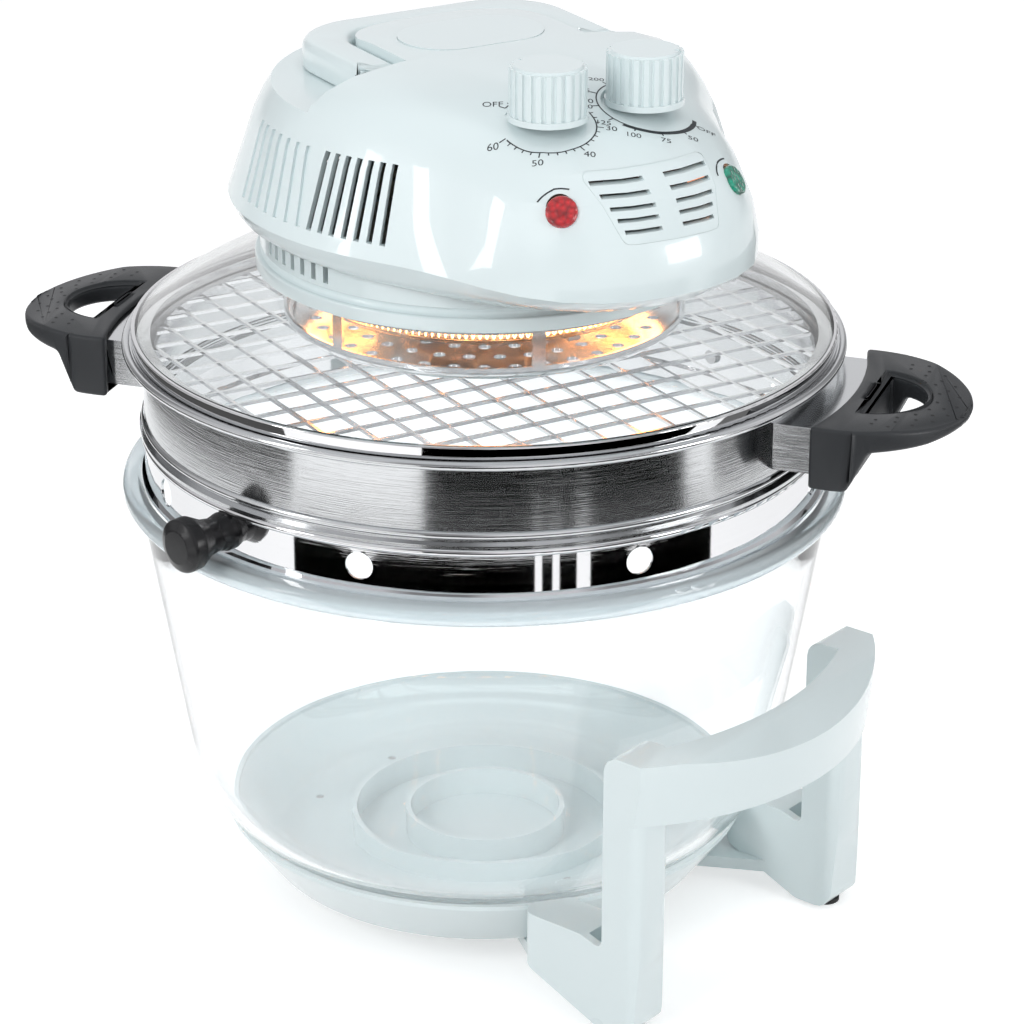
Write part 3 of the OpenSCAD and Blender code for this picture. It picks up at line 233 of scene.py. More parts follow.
def paper_finish():
    paper = bpy.data.materials.new("white_paper")
    paper.use_nodes = True
    tree = paper.node_tree
    shader = tree.nodes["Principled BSDF"]
    shader.inputs["Roughness"].default_value = 0.9
    shader.inputs["Specular IOR Level"].default_value = 0.1
    tooth = tree.nodes.new("ShaderNodeTexNoise")
    tooth.inputs["Scale"].default_value = 3.0
    shade = tree.nodes.new("ShaderNodeMapRange")
    shade.inputs["To Min"].default_value = 0.80
    shade.inputs["To Max"].default_value = 0.83
    tree.links.new(tooth.outputs[0], shade.inputs["Value"])
    tree.links.new(shade.outputs[0], shader.inputs["Base Color"])
    path = tree.nodes.new("ShaderNodeLightPath")
    direct = tree.nodes.new("ShaderNodeMath")
    direct.operation = "MAXIMUM"
    both = tree.nodes.new("ShaderNodeMath")
    both.operation = "MAXIMUM"
    glow = tree.nodes.new("ShaderNodeMath")
    glow.operation = "MULTIPLY"
    glow.inputs[1].default_value = FLOOR_GLOW
    tree.links.new(path.outputs["Is Camera Ray"], direct.inputs[0])
    tree.links.new(path.outputs["Is Glossy Ray"], direct.inputs[1])
    tree.links.new(direct.outputs[0], both.inputs[0])
    tree.links.new(path.outputs["Is Transmission Ray"], both.inputs[1])
    tree.links.new(both.outputs[0], glow.inputs[0])
    shader.inputs["Emission Color"].default_value = WHITE
    tree.links.new(glow.outputs[0], shader.inputs["Emission Strength"])
    return paper


def lay_floor():
    bpy.ops.mesh.primitive_plane_add(size=FLOOR_SIZE)
    floor = bpy.context.object
    floor.name = "paper_floor"
    only(floor)
    floor.data.materials.append(paper_finish())
    return floor


lay_floor()
print("floor laid")

# %% [markdown]
# Seen from above, an upright steel wall mirrors the floor in front of it, which is all
# white here. A photographer stands dark cards there, out of the picture, to give polished
# steel its black bands. These cards are arcs cut from an open cylinder round the oven,
# seen by mirror rays alone, so that they light, darken and hide nothing else.

# %% Cards for the steel to mirror
CARD_R = 0.56
CLEAR_GREY = 0.85
CARD_SIDES = 360
# Each card is a first and a last turn from the camera's side, a foot, a top and a grey
CARDS = [(-17, 60, 0.062, 0.22, 0.0), (-57, 70, -0.03, 0.058, 0.0),
         (-140, -57, 0.066, 0.22, 0.10), (70, 140, 0.066, 0.22, 0.18)]
# Thin bright gaps that show as stripes in the lower ring
CARD_GAPS = [(13.5, 15.5), (18.5, 20.5), (25.5, 29.5)]


def card_finish(grey):
    card = bpy.data.materials.new("card_%02d" % round(grey * 100))
    card.use_nodes = True
    shader = card.node_tree.nodes["Principled BSDF"]
    shader.inputs["Base Color"].default_value = (0, 0, 0, 1)
    shader.inputs["Specular IOR Level"].default_value = 0.0
    shader.inputs["Emission Color"].default_value = WHITE
    # Light that has come through glass finds the card pale, so that the clear rim stays clear
    path = card.node_tree.nodes.new("ShaderNodeLightPath")
    through = card.node_tree.nodes.new("ShaderNodeMapRange")
    through.inputs["To Min"].default_value = grey
    through.inputs["To Max"].default_value = CLEAR_GREY
    card.node_tree.links.new(path.outputs["Transmission Depth"], through.inputs["Value"])
    card.node_tree.links.new(through.outputs[0], shader.inputs["Emission Strength"])
    return card


def stand_card(first, last, foot, top, grey):
    bpy.ops.mesh.primitive_cylinder_add(vertices=CARD_SIDES, radius=CARD_R, depth=top - foot,
                                        end_fill_type="NOTHING", location=(0, 0, (top + foot) / 2))
    card = bpy.context.object
    only(card)
    bpy.ops.object.mode_set(mode="EDIT")
    bpy.ops.mesh.select_mode(type="FACE")
    bpy.ops.mesh.select_all(action="DESELECT")
    mesh = bmesh.from_edit_mesh(card.data)
    gaps = CARD_GAPS if foot < 0 else []
    for face in mesh.faces:
        middle = face.calc_center_median()
        turn = math.degrees(math.atan2(middle.y, middle.x) + math.pi / 2 + OVEN_TURN)
        turn = (turn + 180) % 360 - 180
        face.select = not first <= turn <= last or any(a <= turn <= b for a, b in gaps)
    bmesh.update_edit_mesh(card.data)
    bpy.ops.mesh.delete(type="FACE")
    bpy.ops.object.mode_set(mode="OBJECT")
    bpy.ops.object.transform_apply(location=True, rotation=True, scale=True)
    card.data.materials.append(card_finish(grey))
    card.visible_camera = False
    card.visible_diffuse = False
    card.visible_transmission = False
    card.visible_shadow = False
    card.visible_volume_scatter = False
    return card


for card in CARDS:
    stand_card(*card)
print("cards", len(CARDS))

# %% [markdown]
# Gloss plastic shows its gloss by the windows that it mirrors. Two bright panels give
# the head its two sharp highlights, one tall on its left cheek and one low on its nose.
# Their places were found by following the line of sight off the head, as a billiard ball
# leaves a cushion. Like the cards, only mirror rays see them.

# %% Window panels
PANEL_GLOW = 7.0
HEAD_FRONT = Vector((0, -0.1, 0.37))


def hang_panel(name, place, width, height):
    bpy.ops.mesh.primitive_plane_add(size=1, location=place)
    panel = bpy.context.object
    panel.name = name
    panel.scale = (width, height, 1)
    panel.rotation_euler = (HEAD_FRONT - Vector(place)).to_track_quat("Z", "Y").to_euler()
    only(panel)
    bpy.ops.object.transform_apply(location=True, rotation=True, scale=True)
    glow = bpy.data.materials.new(name)
    glow.use_nodes = True
    shader = glow.node_tree.nodes["Principled BSDF"]
    shader.inputs["Base Color"].default_value = (0, 0, 0, 1)
    shader.inputs["Emission Color"].default_value = WHITE
    shader.inputs["Emission Strength"].default_value = PANEL_GLOW
    panel.data.materials.append(glow)
    panel.visible_camera = False
    panel.visible_diffuse = False
    panel.visible_transmission = False
    panel.visible_shadow = False
    return panel


hang_panel("cheek_panel", (-1.055, 0.03, 0.61), 0.10, 0.70)
hang_panel("nose_panel", (0.607, -1.017, 0.47), 0.40, 0.36)
print("panels hung")

# %% [markdown]
# Every finish starts from one helper: a Principled shader whose colour drifts a little
# with a noise, whose roughness drifts with a second one, and whose surface is broken by
# a fine bump. Stretching the noise turns it into brushing: steel rings are brushed round
# and round, so their noise changes fast with height and slowly along the ring.

# %% Finish helper
def finish(name, colour, rough, metal=0.0, drift=0.02, size=30.0, spread=0.03,
           grain=900.0, depth=0.00002, stretch=(1, 1, 1)):
    material = bpy.data.materials.new(name)
    material.use_nodes = True
    tree = material.node_tree
    make, join = tree.nodes.new, tree.links.new
    shader = tree.nodes["Principled BSDF"]
    shader.inputs["Metallic"].default_value = metal
    coords = make("ShaderNodeTexCoord")
    placing = make("ShaderNodeMapping")
    placing.inputs["Scale"].default_value = stretch
    join(coords.outputs["Object"], placing.inputs["Vector"])
    clouds = make("ShaderNodeTexNoise")
    clouds.inputs["Scale"].default_value = size
    clouds.inputs["Detail"].default_value = 3.0
    join(placing.outputs[0], clouds.inputs["Vector"])
    blend = make("ShaderNodeMix")
    blend.data_type = "RGBA"
    blend.inputs["A"].default_value = [c * (1 - drift) for c in colour] + [1]
    blend.inputs["B"].default_value = [min(1.0, c * (1 + drift)) for c in colour] + [1]
    join(clouds.outputs[0], blend.inputs["Factor"])
    join(blend.outputs["Result"], shader.inputs["Base Color"])
    wear = make("ShaderNodeMapRange")
    wear.inputs["From Min"].default_value = 0.3
    wear.inputs["From Max"].default_value = 0.7
    wear.inputs["To Min"].default_value = max(0.0, rough - spread)
    wear.inputs["To Max"].default_value = rough + spread
    join(clouds.outputs[0], wear.inputs["Value"])
    join(wear.outputs[0], shader.inputs["Roughness"])
    tooth = make("ShaderNodeTexNoise")
    tooth.inputs["Scale"].default_value = grain
    tooth.inputs["Detail"].default_value = 2.0
    join(placing.outputs[0], tooth.inputs["Vector"])
    bump = make("ShaderNodeBump")
    bump.inputs["Distance"].default_value = depth
    join(tooth.outputs[0], bump.inputs["Height"])
    join(bump.outputs[0], shader.inputs["Normal"])
    return material


# %% [markdown]
# The head, the knobs and the stand are one white gloss plastic, very slightly blue. A
# thin clear coat gives the sharp window highlights over a softer body. The grips are a
# satin black plastic with a fine spark-eroded grain.

# %% Plastics
def coated(material, weight, rough):
    shader = material.node_tree.nodes["Principled BSDF"]
    shader.inputs["Coat Weight"].default_value = weight
    shader.inputs["Coat Roughness"].default_value = rough
    return material


white_body = finish("white_gloss", (0.745, 0.835, 0.845), 0.30, drift=0.008, size=9,
                    grain=420, depth=0.000012)
white_gloss = coated(white_body, 0.8, 0.03)
black_grip = finish("black_grip", (0.028, 0.030, 0.033), 0.40, drift=0.15, spread=0.05,
                    grain=2600, depth=0.00005)
# Painted shade: the flat dimple dots are coloured near black for the shade inside their hollows
painted_dimple_shade = finish("painted_dimple_shade", (0.006, 0.006, 0.007), 0.6, drift=0.1, grain=1500)
black_button = finish("black_button", (0.012, 0.012, 0.013), 0.24, drift=0.1,
                      grain=1500, depth=0.00002)
black_rubber = finish("black_rubber", (0.02, 0.02, 0.02), 0.7, drift=0.2, grain=1200, depth=0.00006)
grey_moulding = finish("grey_moulding", (0.12, 0.12, 0.13), 0.5, drift=0.1, grain=1500)
cream_block = finish("cream_block", (0.75, 0.7, 0.58), 0.45, drift=0.05)
red_moulding = finish("red_moulding", (0.42, 0.02, 0.02), 0.4, drift=0.08)
black_print = finish("black_print", (0.03, 0.035, 0.04), 0.5, drift=0.2, size=400, grain=2000)
for dull in (black_button, black_grip):
    dull.node_tree.nodes["Principled BSDF"].inputs["Specular IOR Level"].default_value = 0.35
print("plastics ready")

# %% [markdown]
# Three steels: the pan's ring is brushed with a satin band, the spacer ring under it is
# polished like a mirror, and the wires and screws are plated.

# %% Metals
AROUND = (1, 1, 60)
brushed_steel = finish("brushed_steel", (0.62, 0.63, 0.64), 0.15, 1.0, drift=0.05, size=24,
                       spread=0.03, grain=40, depth=0.00003, stretch=AROUND)
polished_steel = finish("polished_steel", (0.72, 0.72, 0.73), 0.04, 1.0, drift=0.02, size=12,
                        spread=0.01, grain=30, depth=0.000008, stretch=AROUND)
plated_wire = finish("plated_wire", (0.76, 0.76, 0.77), 0.16, 1.0, drift=0.04, grain=800)
screw_steel = finish("screw_steel", (0.5, 0.5, 0.51), 0.3, 1.0, drift=0.06, grain=1500)
pressed_tin = finish("pressed_tin", (0.6, 0.6, 0.61), 0.28, 1.0, drift=0.06, grain=500)
mirror_tin = finish("mirror_tin", (0.86, 0.84, 0.8), 0.12, 1.0, drift=0.04, grain=300,
                    depth=0.00004)
stacked_steel = finish("stacked_steel", (0.3, 0.31, 0.33), 0.45, 1.0, drift=0.2, size=60,
                       grain=120, depth=0.0001, stretch=(1, 1, 20))
copper_winding = finish("copper_winding", (0.62, 0.27, 0.1), 0.35, 1.0, drift=0.25, size=90,
                        grain=160, depth=0.0002, stretch=(1, 12, 12))
felt = finish("felt", (0.78, 0.75, 0.68), 0.95, drift=0.1, size=120, grain=900, depth=0.0002)
print("metals ready")

# %% [markdown]
# Glass is a Principled shader with full transmission. The bowl's thick rim reads blue
# because light runs a long way through it, which a slight tint on every surface that the
# light crosses gives well enough. A little roughness noise stands for wiping marks.

# %% Glass
def glass(name, tint, rough=0.01, ior=1.47):
    material = finish(name, tint, rough, drift=0.012, size=9, spread=0.008, grain=6, depth=0.00006)
    shader = material.node_tree.nodes["Principled BSDF"]
    shader.inputs["Transmission Weight"].default_value = 1.0
    shader.inputs["IOR"].default_value = ior
    return material


def glowing(material, colour, strength):
    shader = material.node_tree.nodes["Principled BSDF"]
    shader.inputs["Emission Color"].default_value = (*colour, 1)
    shader.inputs["Emission Strength"].default_value = strength
    return material


BOWL_TINT = (0.975, 0.993, 1.0)
# The rim tint is the glass's own blue together with painted light, the pale glow that the thick rim
# gathers
RIM_TINT = (0.58, 0.74, 0.80)
bowl_glass = glass("bowl_glass", BOWL_TINT)
RIM_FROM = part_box("glass_bowl")[1].z - 14 * MM
RIM_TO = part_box("glass_bowl")[1].z - 8 * MM
RIM_CLEAR = 0.6


def rim_tint_and_painted_light(material):
    # The thick rim gathers light along its length, so it reads pale blue and not clear: this top
    # band is painted pale and partly opaque for that gathered light, over the glass's own blue tint
    tree = material.node_tree
    shader = tree.nodes["Principled BSDF"]
    coords = tree.nodes.new("ShaderNodeTexCoord")
    parts = tree.nodes.new("ShaderNodeSeparateXYZ")
    tree.links.new(coords.outputs["Object"], parts.inputs[0])
    clear = tree.nodes.new("ShaderNodeMapRange")
    clear.inputs["From Min"].default_value = RIM_FROM
    clear.inputs["From Max"].default_value = RIM_TO
    clear.inputs["To Min"].default_value = 1.0
    clear.inputs["To Max"].default_value = RIM_CLEAR
    tree.links.new(parts.outputs["Z"], clear.inputs["Value"])
    tree.links.new(clear.outputs[0], shader.inputs["Transmission Weight"])
    tint = tree.nodes.new("ShaderNodeMix")
    tint.data_type = "RGBA"
    tint.inputs["A"].default_value = (*RIM_TINT, 1)
    tint.inputs["B"].default_value = (*BOWL_TINT, 1)
    tree.links.new(clear.outputs[0], tint.inputs["Factor"])
    tree.links.new(tint.outputs["Result"], shader.inputs["Base Color"])


rim_tint_and_painted_light(bowl_glass)
lid_glass = glass("lid_glass", (0.975, 0.99, 0.992))
lamp_quartz = glass("lamp_quartz", (1.0, 0.93, 0.84), rough=0.02)
neon = glowing(finish("neon", (0.9, 0.5, 0.3), 0.2), (1.0, 0.35, 0.15), 1.0)
hot_wire = glowing(finish("hot_wire", (1.0, 0.55, 0.25), 0.5), (1.0, 0.42, 0.14), 14.0)

# %% [markdown]
# The two pilot lenses are clear tinted plastic with a faceted back, like a bicycle's
# reflector. A Voronoi pattern stands for the facets: a bump tilts the light cell by cell,
# and painted shade and glint make each cell darker towards its edge. The tint is deep,
# so nothing behind the lens shows.

# %% Lens finish
def faceted(name, dark, light):
    material = coated(finish(name, light, 0.12, grain=600), 1.0, 0.03)
    tree = material.node_tree
    shader = tree.nodes["Principled BSDF"]
    coords = tree.nodes.new("ShaderNodeTexCoord")
    cells = tree.nodes.new("ShaderNodeTexVoronoi")
    cells.inputs["Scale"].default_value = 420.0
    tree.links.new(coords.outputs["Object"], cells.inputs["Vector"])
    # Painted shade and glint: the colour runs from the lit tint in each cell's middle to a dark
    # shade at its edge
    blend = tree.nodes.new("ShaderNodeMix")
    blend.data_type = "RGBA"
    blend.inputs["A"].default_value = (*light, 1)
    blend.inputs["B"].default_value = (*dark, 1)
    tree.links.new(cells.outputs["Distance"], blend.inputs["Factor"])
    tree.links.new(blend.outputs["Result"], shader.inputs["Base Color"])
    tilt = tree.nodes.new("ShaderNodeBump")
    tilt.inputs["Distance"].default_value = 0.0008
    tree.links.new(cells.outputs["Distance"], tilt.inputs["Height"])
    tree.links.new(tilt.outputs[0], shader.inputs["Normal"])
    return material


red_glass = faceted("red_lens", (0.16, 0.0, 0.003), (0.72, 0.012, 0.02))
green_glass = faceted("green_lens", (0.0, 0.07, 0.045), (0.0, 0.42, 0.26))
print("glass ready")

# %% [markdown]
# Now the frame's own pieces are dressed. Their surfaces arrive as loose triangles, so a
# Weld modifier joins them and an Edge Split by angle keeps the real corners crisp while
# the round parts shade smoothly. The mesh itself is left as it was measured.

# %% Dress the measured pieces
WEAR_OF = {
    white_gloss: ["head_collar", "head_housing", "top_plate", "front_grille", "timer_knob",
                  "thermostat_knob", "carry_handle", "stand_dish", "carry_frame", "rear_feet"],
    black_grip: ["grip_right", "grip_left"],
    black_button: ["ring_knob_left", "ring_knob_right"],
    black_rubber: ["foot_pads", "cord_gland"],
    grey_moulding: ["timer_unit", "thermostat_unit", "safety_switch", "cooling_fan"],
    cream_block: ["terminal_block"],
    red_moulding: ["switch_plunger"],
    brushed_steel: ["handle_ring", "grip_bracket_right", "grip_bracket_left"],
    polished_steel: ["extension_ring", "lid_edge"],
    plated_wire: ["wire_rack", "guard_grille"],
    screw_steel: ["stand_screws", "ring_knob_screws", "grip_screws", "clamp_screws",
                  "head_screws", "handle_pins", "motor_shaft", "timer_shaft",
                  "thermostat_shaft", "lamp_clips"],
    pressed_tin: ["clamp_ring", "convection_fan", "motor_bracket"],
    mirror_tin: ["reflector"],
    stacked_steel: ["motor_stator"],
    copper_winding: ["motor_coil"],
    felt: ["insulation_pad"],
    bowl_glass: ["glass_bowl"],
    lid_glass: ["glass_lid"],
    lamp_quartz: ["halogen_lamp"],
    red_glass: ["power_lens"],
    green_glass: ["heat_lens"],
    neon: ["lens_lamps"],
}
CORNER = math.radians(32)
WELD = 0.000002


def dress(piece, material):
    piece.data.materials.clear()
    piece.data.materials.append(material)
    for face in piece.data.polygons:
        face.use_smooth = True
        face.material_index = 0
    weld = piece.modifiers.new("weld", "WELD")
    weld.merge_threshold = WELD
    split = piece.modifiers.new("corners", "EDGE_SPLIT")
    split.split_angle = CORNER
    split.use_edge_sharp = False


for material, names in WEAR_OF.items():
    for name in names:
        dress(nodes[name], material)
undressed = sorted(set(nodes) - {name for names in WEAR_OF.values() for name in names})
# The clear pieces let the lamps' light through without a shadow of their own
for name in ("glass_bowl", "glass_lid"):
    nodes[name].visible_shadow = False
print("dressed", len(nodes) - len(undressed), "left", undressed)


# %% [markdown]
# The rest of the file models pieces again, by hand. A few helpers keep that short: one
# puts a finished piece on its body and in its finish, and one opens a piece for editing
# with only the parts selected that a test picks by their place.

# %% Modelling helpers
def edit(piece, picked=None):
    only(piece)
    bpy.ops.object.mode_set(mode="EDIT")
    bpy.ops.mesh.select_mode(type="VERT")
    bpy.ops.mesh.select_all(action="SELECT" if picked is None else "DESELECT")
    if picked is not None:
        mesh = bmesh.from_edit_mesh(piece.data)
        for vertex in mesh.verts:
            vertex.select = bool(picked(vertex.co))
        mesh.select_flush_mode()
        bmesh.update_edit_mesh(piece.data)


def done(piece):
    bpy.ops.object.mode_set(mode="OBJECT")
    return piece


def settle(piece):
    only(piece)
    bpy.ops.object.transform_apply(location=True, rotation=True, scale=True)
    return piece


def apply_all(piece):
    only(piece)
    for modifier in list(piece.modifiers):
        bpy.ops.object.modifier_apply(modifier=modifier.name)
    return piece


def joined(pieces, name):
    only(pieces[0])
    for piece in pieces[1:]:
        piece.select_set(True)
    bpy.ops.object.join()
    whole = bpy.context.object
    whole.name = name
    whole.data.name = name
    return whole


def fit(piece, name, body, slot, material, *stands_for, smooth=30):
    piece.name = name
    piece.data.name = name
    piece.data.materials.clear()
    piece.data.materials.append(material)
    settle(piece)
    if smooth:
        bpy.ops.object.shade_smooth_by_angle(angle=math.radians(smooth))
    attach(piece, body)
    if stands_for:
        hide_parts(*stands_for)
    print(name, len(piece.data.polygons), "faces on", body)
    return piece


# %% [markdown]
# The lamp is a quartz tube bent nearly round, with a long coil of tungsten inside. From
# outside it shows as a bright line through the guard, so the coil is a real helix: a
# curve whose points are worked out turn by turn, given a round wire and made a mesh. The
# tube stays the measured piece, and its clear finish lets the wire show.

# %% Lamp coil
LAMP_R = 76 * MM
LAMP_T = 10 * MM
LAMP_GAP = math.radians(14)
COIL_R = 1.6 * MM
COIL_WIRE = 0.32 * MM
COIL_TURNS = 150
COIL_STEPS = 9
LAMP_Z = (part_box("halogen_lamp")[0].z + 0.6 * MM) + LAMP_T / 2


def lamp_coil():
    curve = bpy.data.curves.new("lamp_coil", "CURVE")
    curve.dimensions = "3D"
    curve.bevel_depth = COIL_WIRE
    curve.bevel_resolution = 0
    line = curve.splines.new("POLY")
    count = COIL_TURNS * COIL_STEPS
    line.points.add(count)
    for i in range(count + 1):
        share = i / count
        around = math.pi / 2 + LAMP_GAP + share * (2 * math.pi - 2 * LAMP_GAP)
        turn = 2 * math.pi * COIL_TURNS * share
        reach = LAMP_R + COIL_R * math.cos(turn)
        height = LAMP_Z + COIL_R * math.sin(turn)
        line.points[i].co = (reach * math.cos(around), reach * math.sin(around), height, 1)
    coil = bpy.data.objects.new("lamp_coil", curve)
    bpy.context.scene.collection.objects.link(coil)
    only(coil)
    bpy.ops.object.convert(target="MESH")
    return fit(bpy.context.object, "lamp_coil", "lid", "lamp_glass", hot_wire, smooth=0)


lamp_coil()

# %% [markdown]
# The lettering of the two dials is printed on the housing: a thin ring, ticks and plain
# numbers. Each mark starts as a small flat plane or a text, all are joined, and one
# Shrinkwrap lays them down on the sloping crown, so that the print follows its curve.

# %% Dial helpers
KNOB_X = 24 * MM
KNOB_Y = 95 * MM
RING_R = 20.6 * MM
PRINT_LINE = 0.6 * MM
PRINT_HEIGHT = 0.08 * MM
NUMBER_SIZE = 5.2 * MM
PRINT_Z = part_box("head_housing")[1].z + 2 * MM


def ink_arc(centre, radius, width, start, sweep):
    steps = max(3, int(abs(sweep) / math.radians(3)))
    step = sweep / steps
    spot = centre + Vector((radius, 0, 0))
    bpy.ops.mesh.primitive_plane_add(size=1, location=spot)
    arc = bpy.context.object
    arc.scale = (width, abs(step) * radius, 1)
    settle(arc)
    far = spot.y
    edit(arc, lambda co: co.y > far)
    bpy.ops.mesh.spin(steps=steps - 1, angle=abs(sweep) - abs(step), center=centre, axis=(0, 0, 1))
    bpy.ops.mesh.select_all(action="SELECT")
    bpy.ops.mesh.remove_doubles(threshold=0.00001)
    done(arc)
    spin = Matrix.Rotation(start + abs(sweep) - abs(step) / 2, 4, "Z")
    arc.data.transform(Matrix.Translation(centre) @ spin @ Matrix.Translation(-centre))
    return arc


def ink_tick(centre, radius, length, width, angle):
    bpy.ops.mesh.primitive_plane_add(size=1, location=centre)
    tick = bpy.context.object
    tick.scale = (length, width, 1)
    settle(tick)
    edit(tick)
    bpy.ops.mesh.subdivide(number_cuts=1)
    done(tick)
    tick.data.transform(Matrix.Translation(centre) @ Matrix.Rotation(angle, 4, "Z")
                        @ Matrix.Translation((radius, 0, 0)) @ Matrix.Translation(-centre))
    return tick


def ink_number(words, centre, radius, angle, size, facing):
    spot = centre + Vector((radius * math.cos(angle), radius * math.sin(angle), 0))
    bpy.ops.object.text_add(location=spot, rotation=(0, 0, facing))
    label = bpy.context.object
    label.data.body = words
    label.data.size = size
    label.data.align_x = "CENTER"
    label.data.align_y = "CENTER"
    label.data.resolution_u = 3
    bpy.ops.object.convert(target="MESH")
    return settle(bpy.context.object)


def lay_down(flat, target):
    wrap = flat.modifiers.new("lay_down", "SHRINKWRAP")
    wrap.target = target
    wrap.wrap_method = "PROJECT"
    wrap.use_project_z = True
    wrap.use_negative_direction = True
    wrap.use_positive_direction = False
    wrap.offset = PRINT_HEIGHT
    return apply_all(flat)


def print_on(marks, name, target):
    whole = lay_down(joined(marks, name), target)
    return fit(whole, name, "lid", "black_plastic", black_print, smooth=0)


# %% [markdown]
# The timer's dial runs clockwise from OFF to 60 minutes, ten minutes every fifty
# degrees, with a fine tick each two minutes. The heat dial has its numbers every thirty
# degrees, and a heavy band under the warm half, as the photograph shows.

# %% Dials
FACING = -OVEN_TURN
DIAL_SWEEP = math.radians(300)
TIMER_OFF = math.radians(120)
TIMER_TICKS = 30
TIMER_WORDS = ["OFF", "10", "20", "30", "40", "50", "60"]
TIMER_REACH = RING_R + 6.2 * MM
HEAT_OFF = math.radians(-42)
HEAT_STEP = math.radians(30)
HEAT_WORDS = ["OFF", "50", "75", "100", "125", "150", "175", "200", "225", "250"]
HEAT_REACH = RING_R + 6.4 * MM
BAND_START = math.radians(-150)
BAND_SWEEP = math.radians(120)
BAND_WIDTH = 1.8 * MM


def timer_marks():
    centre = Vector((-KNOB_X, -KNOB_Y, PRINT_Z))
    marks = [ink_arc(centre, RING_R, PRINT_LINE, TIMER_OFF - DIAL_SWEEP, DIAL_SWEEP)]
    for i in range(TIMER_TICKS + 1):
        angle = TIMER_OFF - DIAL_SWEEP * i / TIMER_TICKS
        long_tick = i % 5 == 0
        length = (3.0 if long_tick else 1.7) * MM
        marks.append(ink_tick(centre, RING_R + length / 2, length, 0.55 * MM, angle))
    for i, word in enumerate(TIMER_WORDS):
        angle = TIMER_OFF - DIAL_SWEEP * i / 6
        marks.append(ink_number(word, centre, TIMER_REACH, angle, NUMBER_SIZE, FACING))
    return print_on(marks, "timer_marks", nodes["head_housing"])


def heat_marks():
    centre = Vector((KNOB_X, -KNOB_Y, PRINT_Z))
    marks = [ink_arc(centre, RING_R, PRINT_LINE, HEAT_OFF - DIAL_SWEEP, DIAL_SWEEP),
             ink_arc(centre, RING_R + 0.9 * MM, BAND_WIDTH, BAND_START, BAND_SWEEP)]
    for i, word in enumerate(HEAT_WORDS):
        angle = HEAT_OFF - HEAT_STEP * i
        marks.append(ink_tick(centre, RING_R + 1.5 * MM, 3.0 * MM, 0.6 * MM, angle))
        marks.append(ink_number(word, centre, HEAT_REACH, angle, NUMBER_SIZE * 0.9, FACING))
    return print_on(marks, "heat_marks", nodes["head_housing"])


timer_marks()
heat_marks()

# %% [markdown]
# Over each pilot lens the housing carries a short printed arc. It is drawn flat, stood up
# in the lens's own plane by one matrix, and a Shrinkwrap lays it on the nearest skin.

# %% Arcs over the lenses
LENS_AT = Vector((44, 138.5, 381.55)) * MM
LENS_TURN = math.radians(30)
LENS_LEAN = math.radians(76)
ARC_R = 12.6 * MM


def lens_place(side):
    spot = Matrix.Translation((side * LENS_AT.x, -LENS_AT.y, LENS_AT.z))
    turn = Matrix.Rotation(side * LENS_TURN, 4, "Z")
    return spot @ turn @ Matrix.Rotation(LENS_LEAN, 4, "X")


def lens_arc(name, side):
    arc = ink_arc(Vector((0, 0, 0)), ARC_R, 0.9 * MM, math.radians(70), math.radians(82))
    arc.data.transform(lens_place(side))
    wrap = arc.modifiers.new("lay_on", "SHRINKWRAP")
    wrap.target = nodes["head_housing"]
    wrap.wrap_method = "NEAREST_SURFACEPOINT"
    wrap.wrap_mode = "ABOVE_SURFACE"
    wrap.offset = PRINT_HEIGHT
    apply_all(arc)
    return fit(arc, name, "lid", "black_plastic", black_print, smooth=0)


lens_arc("power_arc", -1)
lens_arc("heat_arc", 1)

# %% [markdown]
# Moulded plastic has no sharp edge anywhere: the mould's corners are cut round. The
# measured grips and the carry handle come with sharp ones, so each is copied, its loose
# triangles are merged and dissolved into flat faces, and a Bevel by angle rounds every
# corner. The copy then stands in for the measured piece.

# %% Rounded mouldings
FLAT = math.radians(1.5)


def rounded_top(piece, offset, steps=5):
    edit(piece)
    bpy.ops.mesh.select_all(action="DESELECT")
    bpy.ops.mesh.select_mode(type="EDGE")
    mesh = bmesh.from_edit_mesh(piece.data)
    for line in mesh.edges:
        tilt = sorted(abs(face.normal.z) for face in line.link_faces)
        upper = max((face.normal.z for face in line.link_faces), default=0)
        line.select = len(tilt) == 2 and tilt[0] < 0.3 and upper > 0.9
    bmesh.update_edit_mesh(piece.data)
    bpy.ops.mesh.bevel(offset=offset, segments=steps, profile=0.5)
    return done(piece)


def softened(name, body, slot, material, width, corner=45, steps=3, crown=0):
    piece = nodes[name].copy()
    piece.data = nodes[name].data.copy()
    bpy.context.scene.collection.objects.link(piece)
    for modifier in list(piece.modifiers):
        piece.modifiers.remove(modifier)
    edit(piece)
    bpy.ops.mesh.remove_doubles(threshold=0.00001)
    bpy.ops.mesh.dissolve_limited(angle_limit=FLAT)
    done(piece)
    if crown:
        rounded_top(piece, crown)
    bevel = piece.modifiers.new("round", "BEVEL")
    bevel.limit_method = "ANGLE"
    bevel.angle_limit = math.radians(corner)
    bevel.width = width
    bevel.segments = steps
    bevel.use_clamp_overlap = False
    bevel.harden_normals = False
    apply_all(piece)
    edit(piece)
    bpy.ops.mesh.normals_make_consistent(inside=False)
    done(piece)
    return fit(piece, name + "_soft", body, slot, material, name, smooth=35)


soft_right = softened("grip_right", "pan", "black_plastic", black_grip, 1.6 * MM)
soft_left = softened("grip_left", "pan", "black_plastic", black_grip, 1.6 * MM)
softened("carry_handle", "handle", "white_plastic", white_gloss, 1.0 * MM, crown=4.5 * MM)

# %% [markdown]
# The top of each grip has small dimples round its outer lobe for a sure hold. Each is a
# flat dot: an eight-sided disc, copied along three arcs and laid on the grip, in a
# near-black that is painted shade for the dimple's hollow.

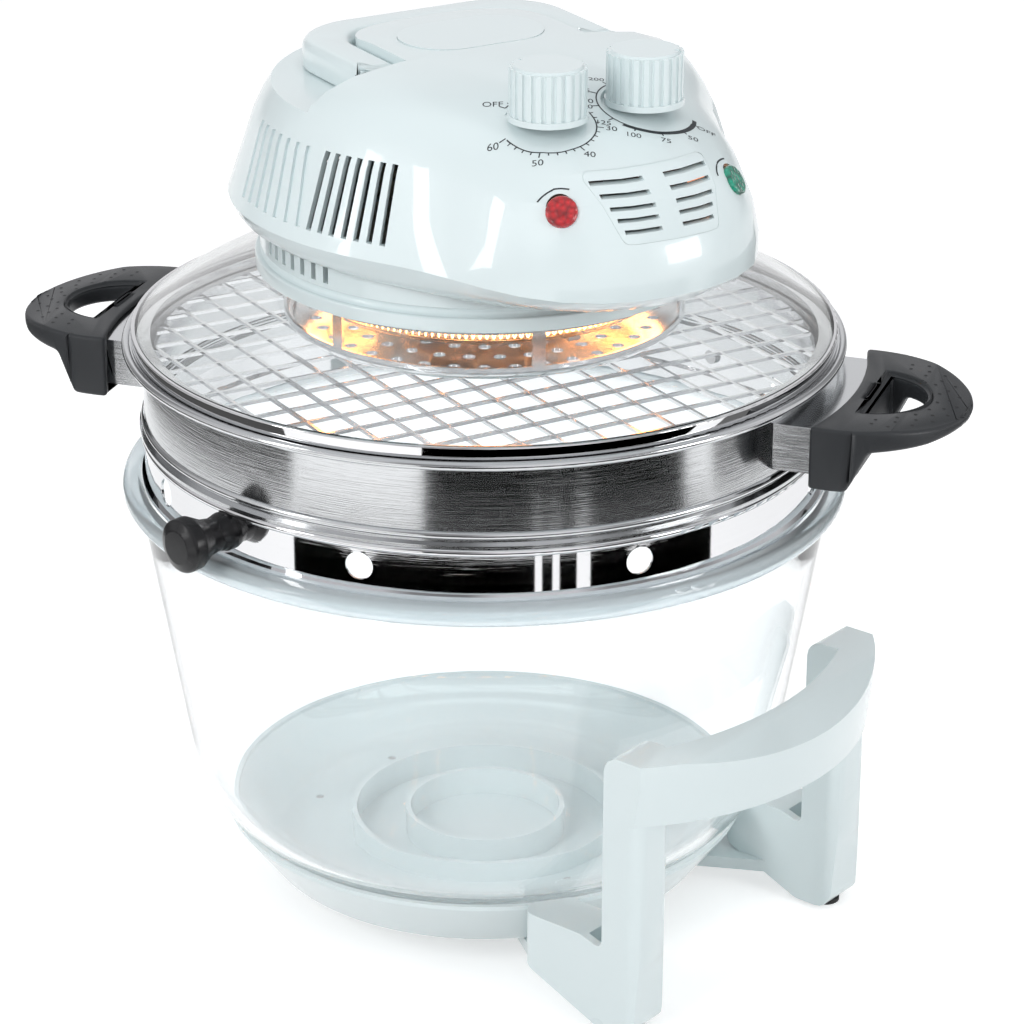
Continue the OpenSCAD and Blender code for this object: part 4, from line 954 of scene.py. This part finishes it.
# %% Dimples
GRIP_TURN = math.radians(40.5 - 90)
LOBE_X = 174.5 * MM
DOT_R = 0.85 * MM
DOT_LIFT = 20 * MM
# Each row is its distance from the lobe's middle, its number of dots and its half angle
DOT_ROWS = [(37.5 * MM, 9, 62), (42.0 * MM, 10, 66), (46.4 * MM, 9, 58)]


def grip_dots(name, grip, turn):
    bpy.ops.mesh.primitive_circle_add(vertices=8, radius=DOT_R, fill_type="NGON")
    first = bpy.context.object
    dots = []
    top = max(vertex.co.z for vertex in grip.data.vertices) + DOT_LIFT
    for reach, count, half in DOT_ROWS:
        for i in range(count):
            angle = math.radians(half * (2 * i / (count - 1) - 1))
            dot = first.copy()
            dot.data = first.data.copy()
            bpy.context.scene.collection.objects.link(dot)
            spot = Vector((LOBE_X + reach * math.cos(angle), reach * math.sin(angle), top))
            dot.data.transform(Matrix.Rotation(turn, 4, "Z") @ Matrix.Translation(spot))
            dots.append(dot)
    bpy.data.objects.remove(first)
    whole = lay_down(joined(dots, name), grip)
    # The dots carry the painted shade of the dimples' hollows
    return fit(whole, name, "pan", "black_plastic", painted_dimple_shade, smooth=0)


grip_dots("grip_dots_right", soft_right, GRIP_TURN)
grip_dots("grip_dots_left", soft_left, GRIP_TURN + math.pi)

# %% [markdown]
# A pilot lens is a shallow dome on a short rim. It starts as a cylinder whose upper edge
# is bevelled wide, which domes it. To seat it, the skin is measured at points round its
# hole: their middle and the plane through them give the lens its place and its lean.

# %% Pilot lenses
LENS_R = 6.9 * MM
LENS_LOW = -2.0 * MM
LENS_HIGH = 2.2 * MM
SEAT_R = 8.6 * MM
SEAT_POINTS = 16


def lens_seat(side):
    place = lens_place(side)
    skin = []
    for i in range(SEAT_POINTS):
        turn = 2 * math.pi * i / SEAT_POINTS
        point = place @ Vector((SEAT_R * math.cos(turn), SEAT_R * math.sin(turn), 1.5 * MM))
        skin.append(nodes["head_housing"].closest_point_on_mesh(point)[1])
    middle = sum(skin, Vector()) / SEAT_POINTS
    out = Vector()
    for here, after in zip(skin, skin[1:] + skin[:1]):
        out += (here - middle).cross(after - middle)
    return Matrix.Translation(middle) @ out.to_track_quat("Z", "Y").to_matrix().to_4x4()


def pilot_lens(name, stands_for, side, slot, material):
    bpy.ops.mesh.primitive_cylinder_add(vertices=40, radius=LENS_R, depth=LENS_HIGH - LENS_LOW,
                                        location=(0, 0, (LENS_HIGH + LENS_LOW) / 2))
    lens = settle(bpy.context.object)
    edit(lens, lambda co: co.z > LENS_HIGH - 0.1 * MM)
    bpy.ops.mesh.bevel(offset=1.9 * MM, segments=6, profile=0.6)
    done(lens)
    lens.data.transform(lens_seat(side))
    return fit(lens, name, "lid", slot, material, stands_for, smooth=40)


pilot_lens("power_jewel", "power_lens", -1, "red_lens", red_glass)
pilot_lens("heat_jewel", "heat_lens", 1, "green_lens", green_glass)

# %% Finish
bpy.context.view_layer.update()
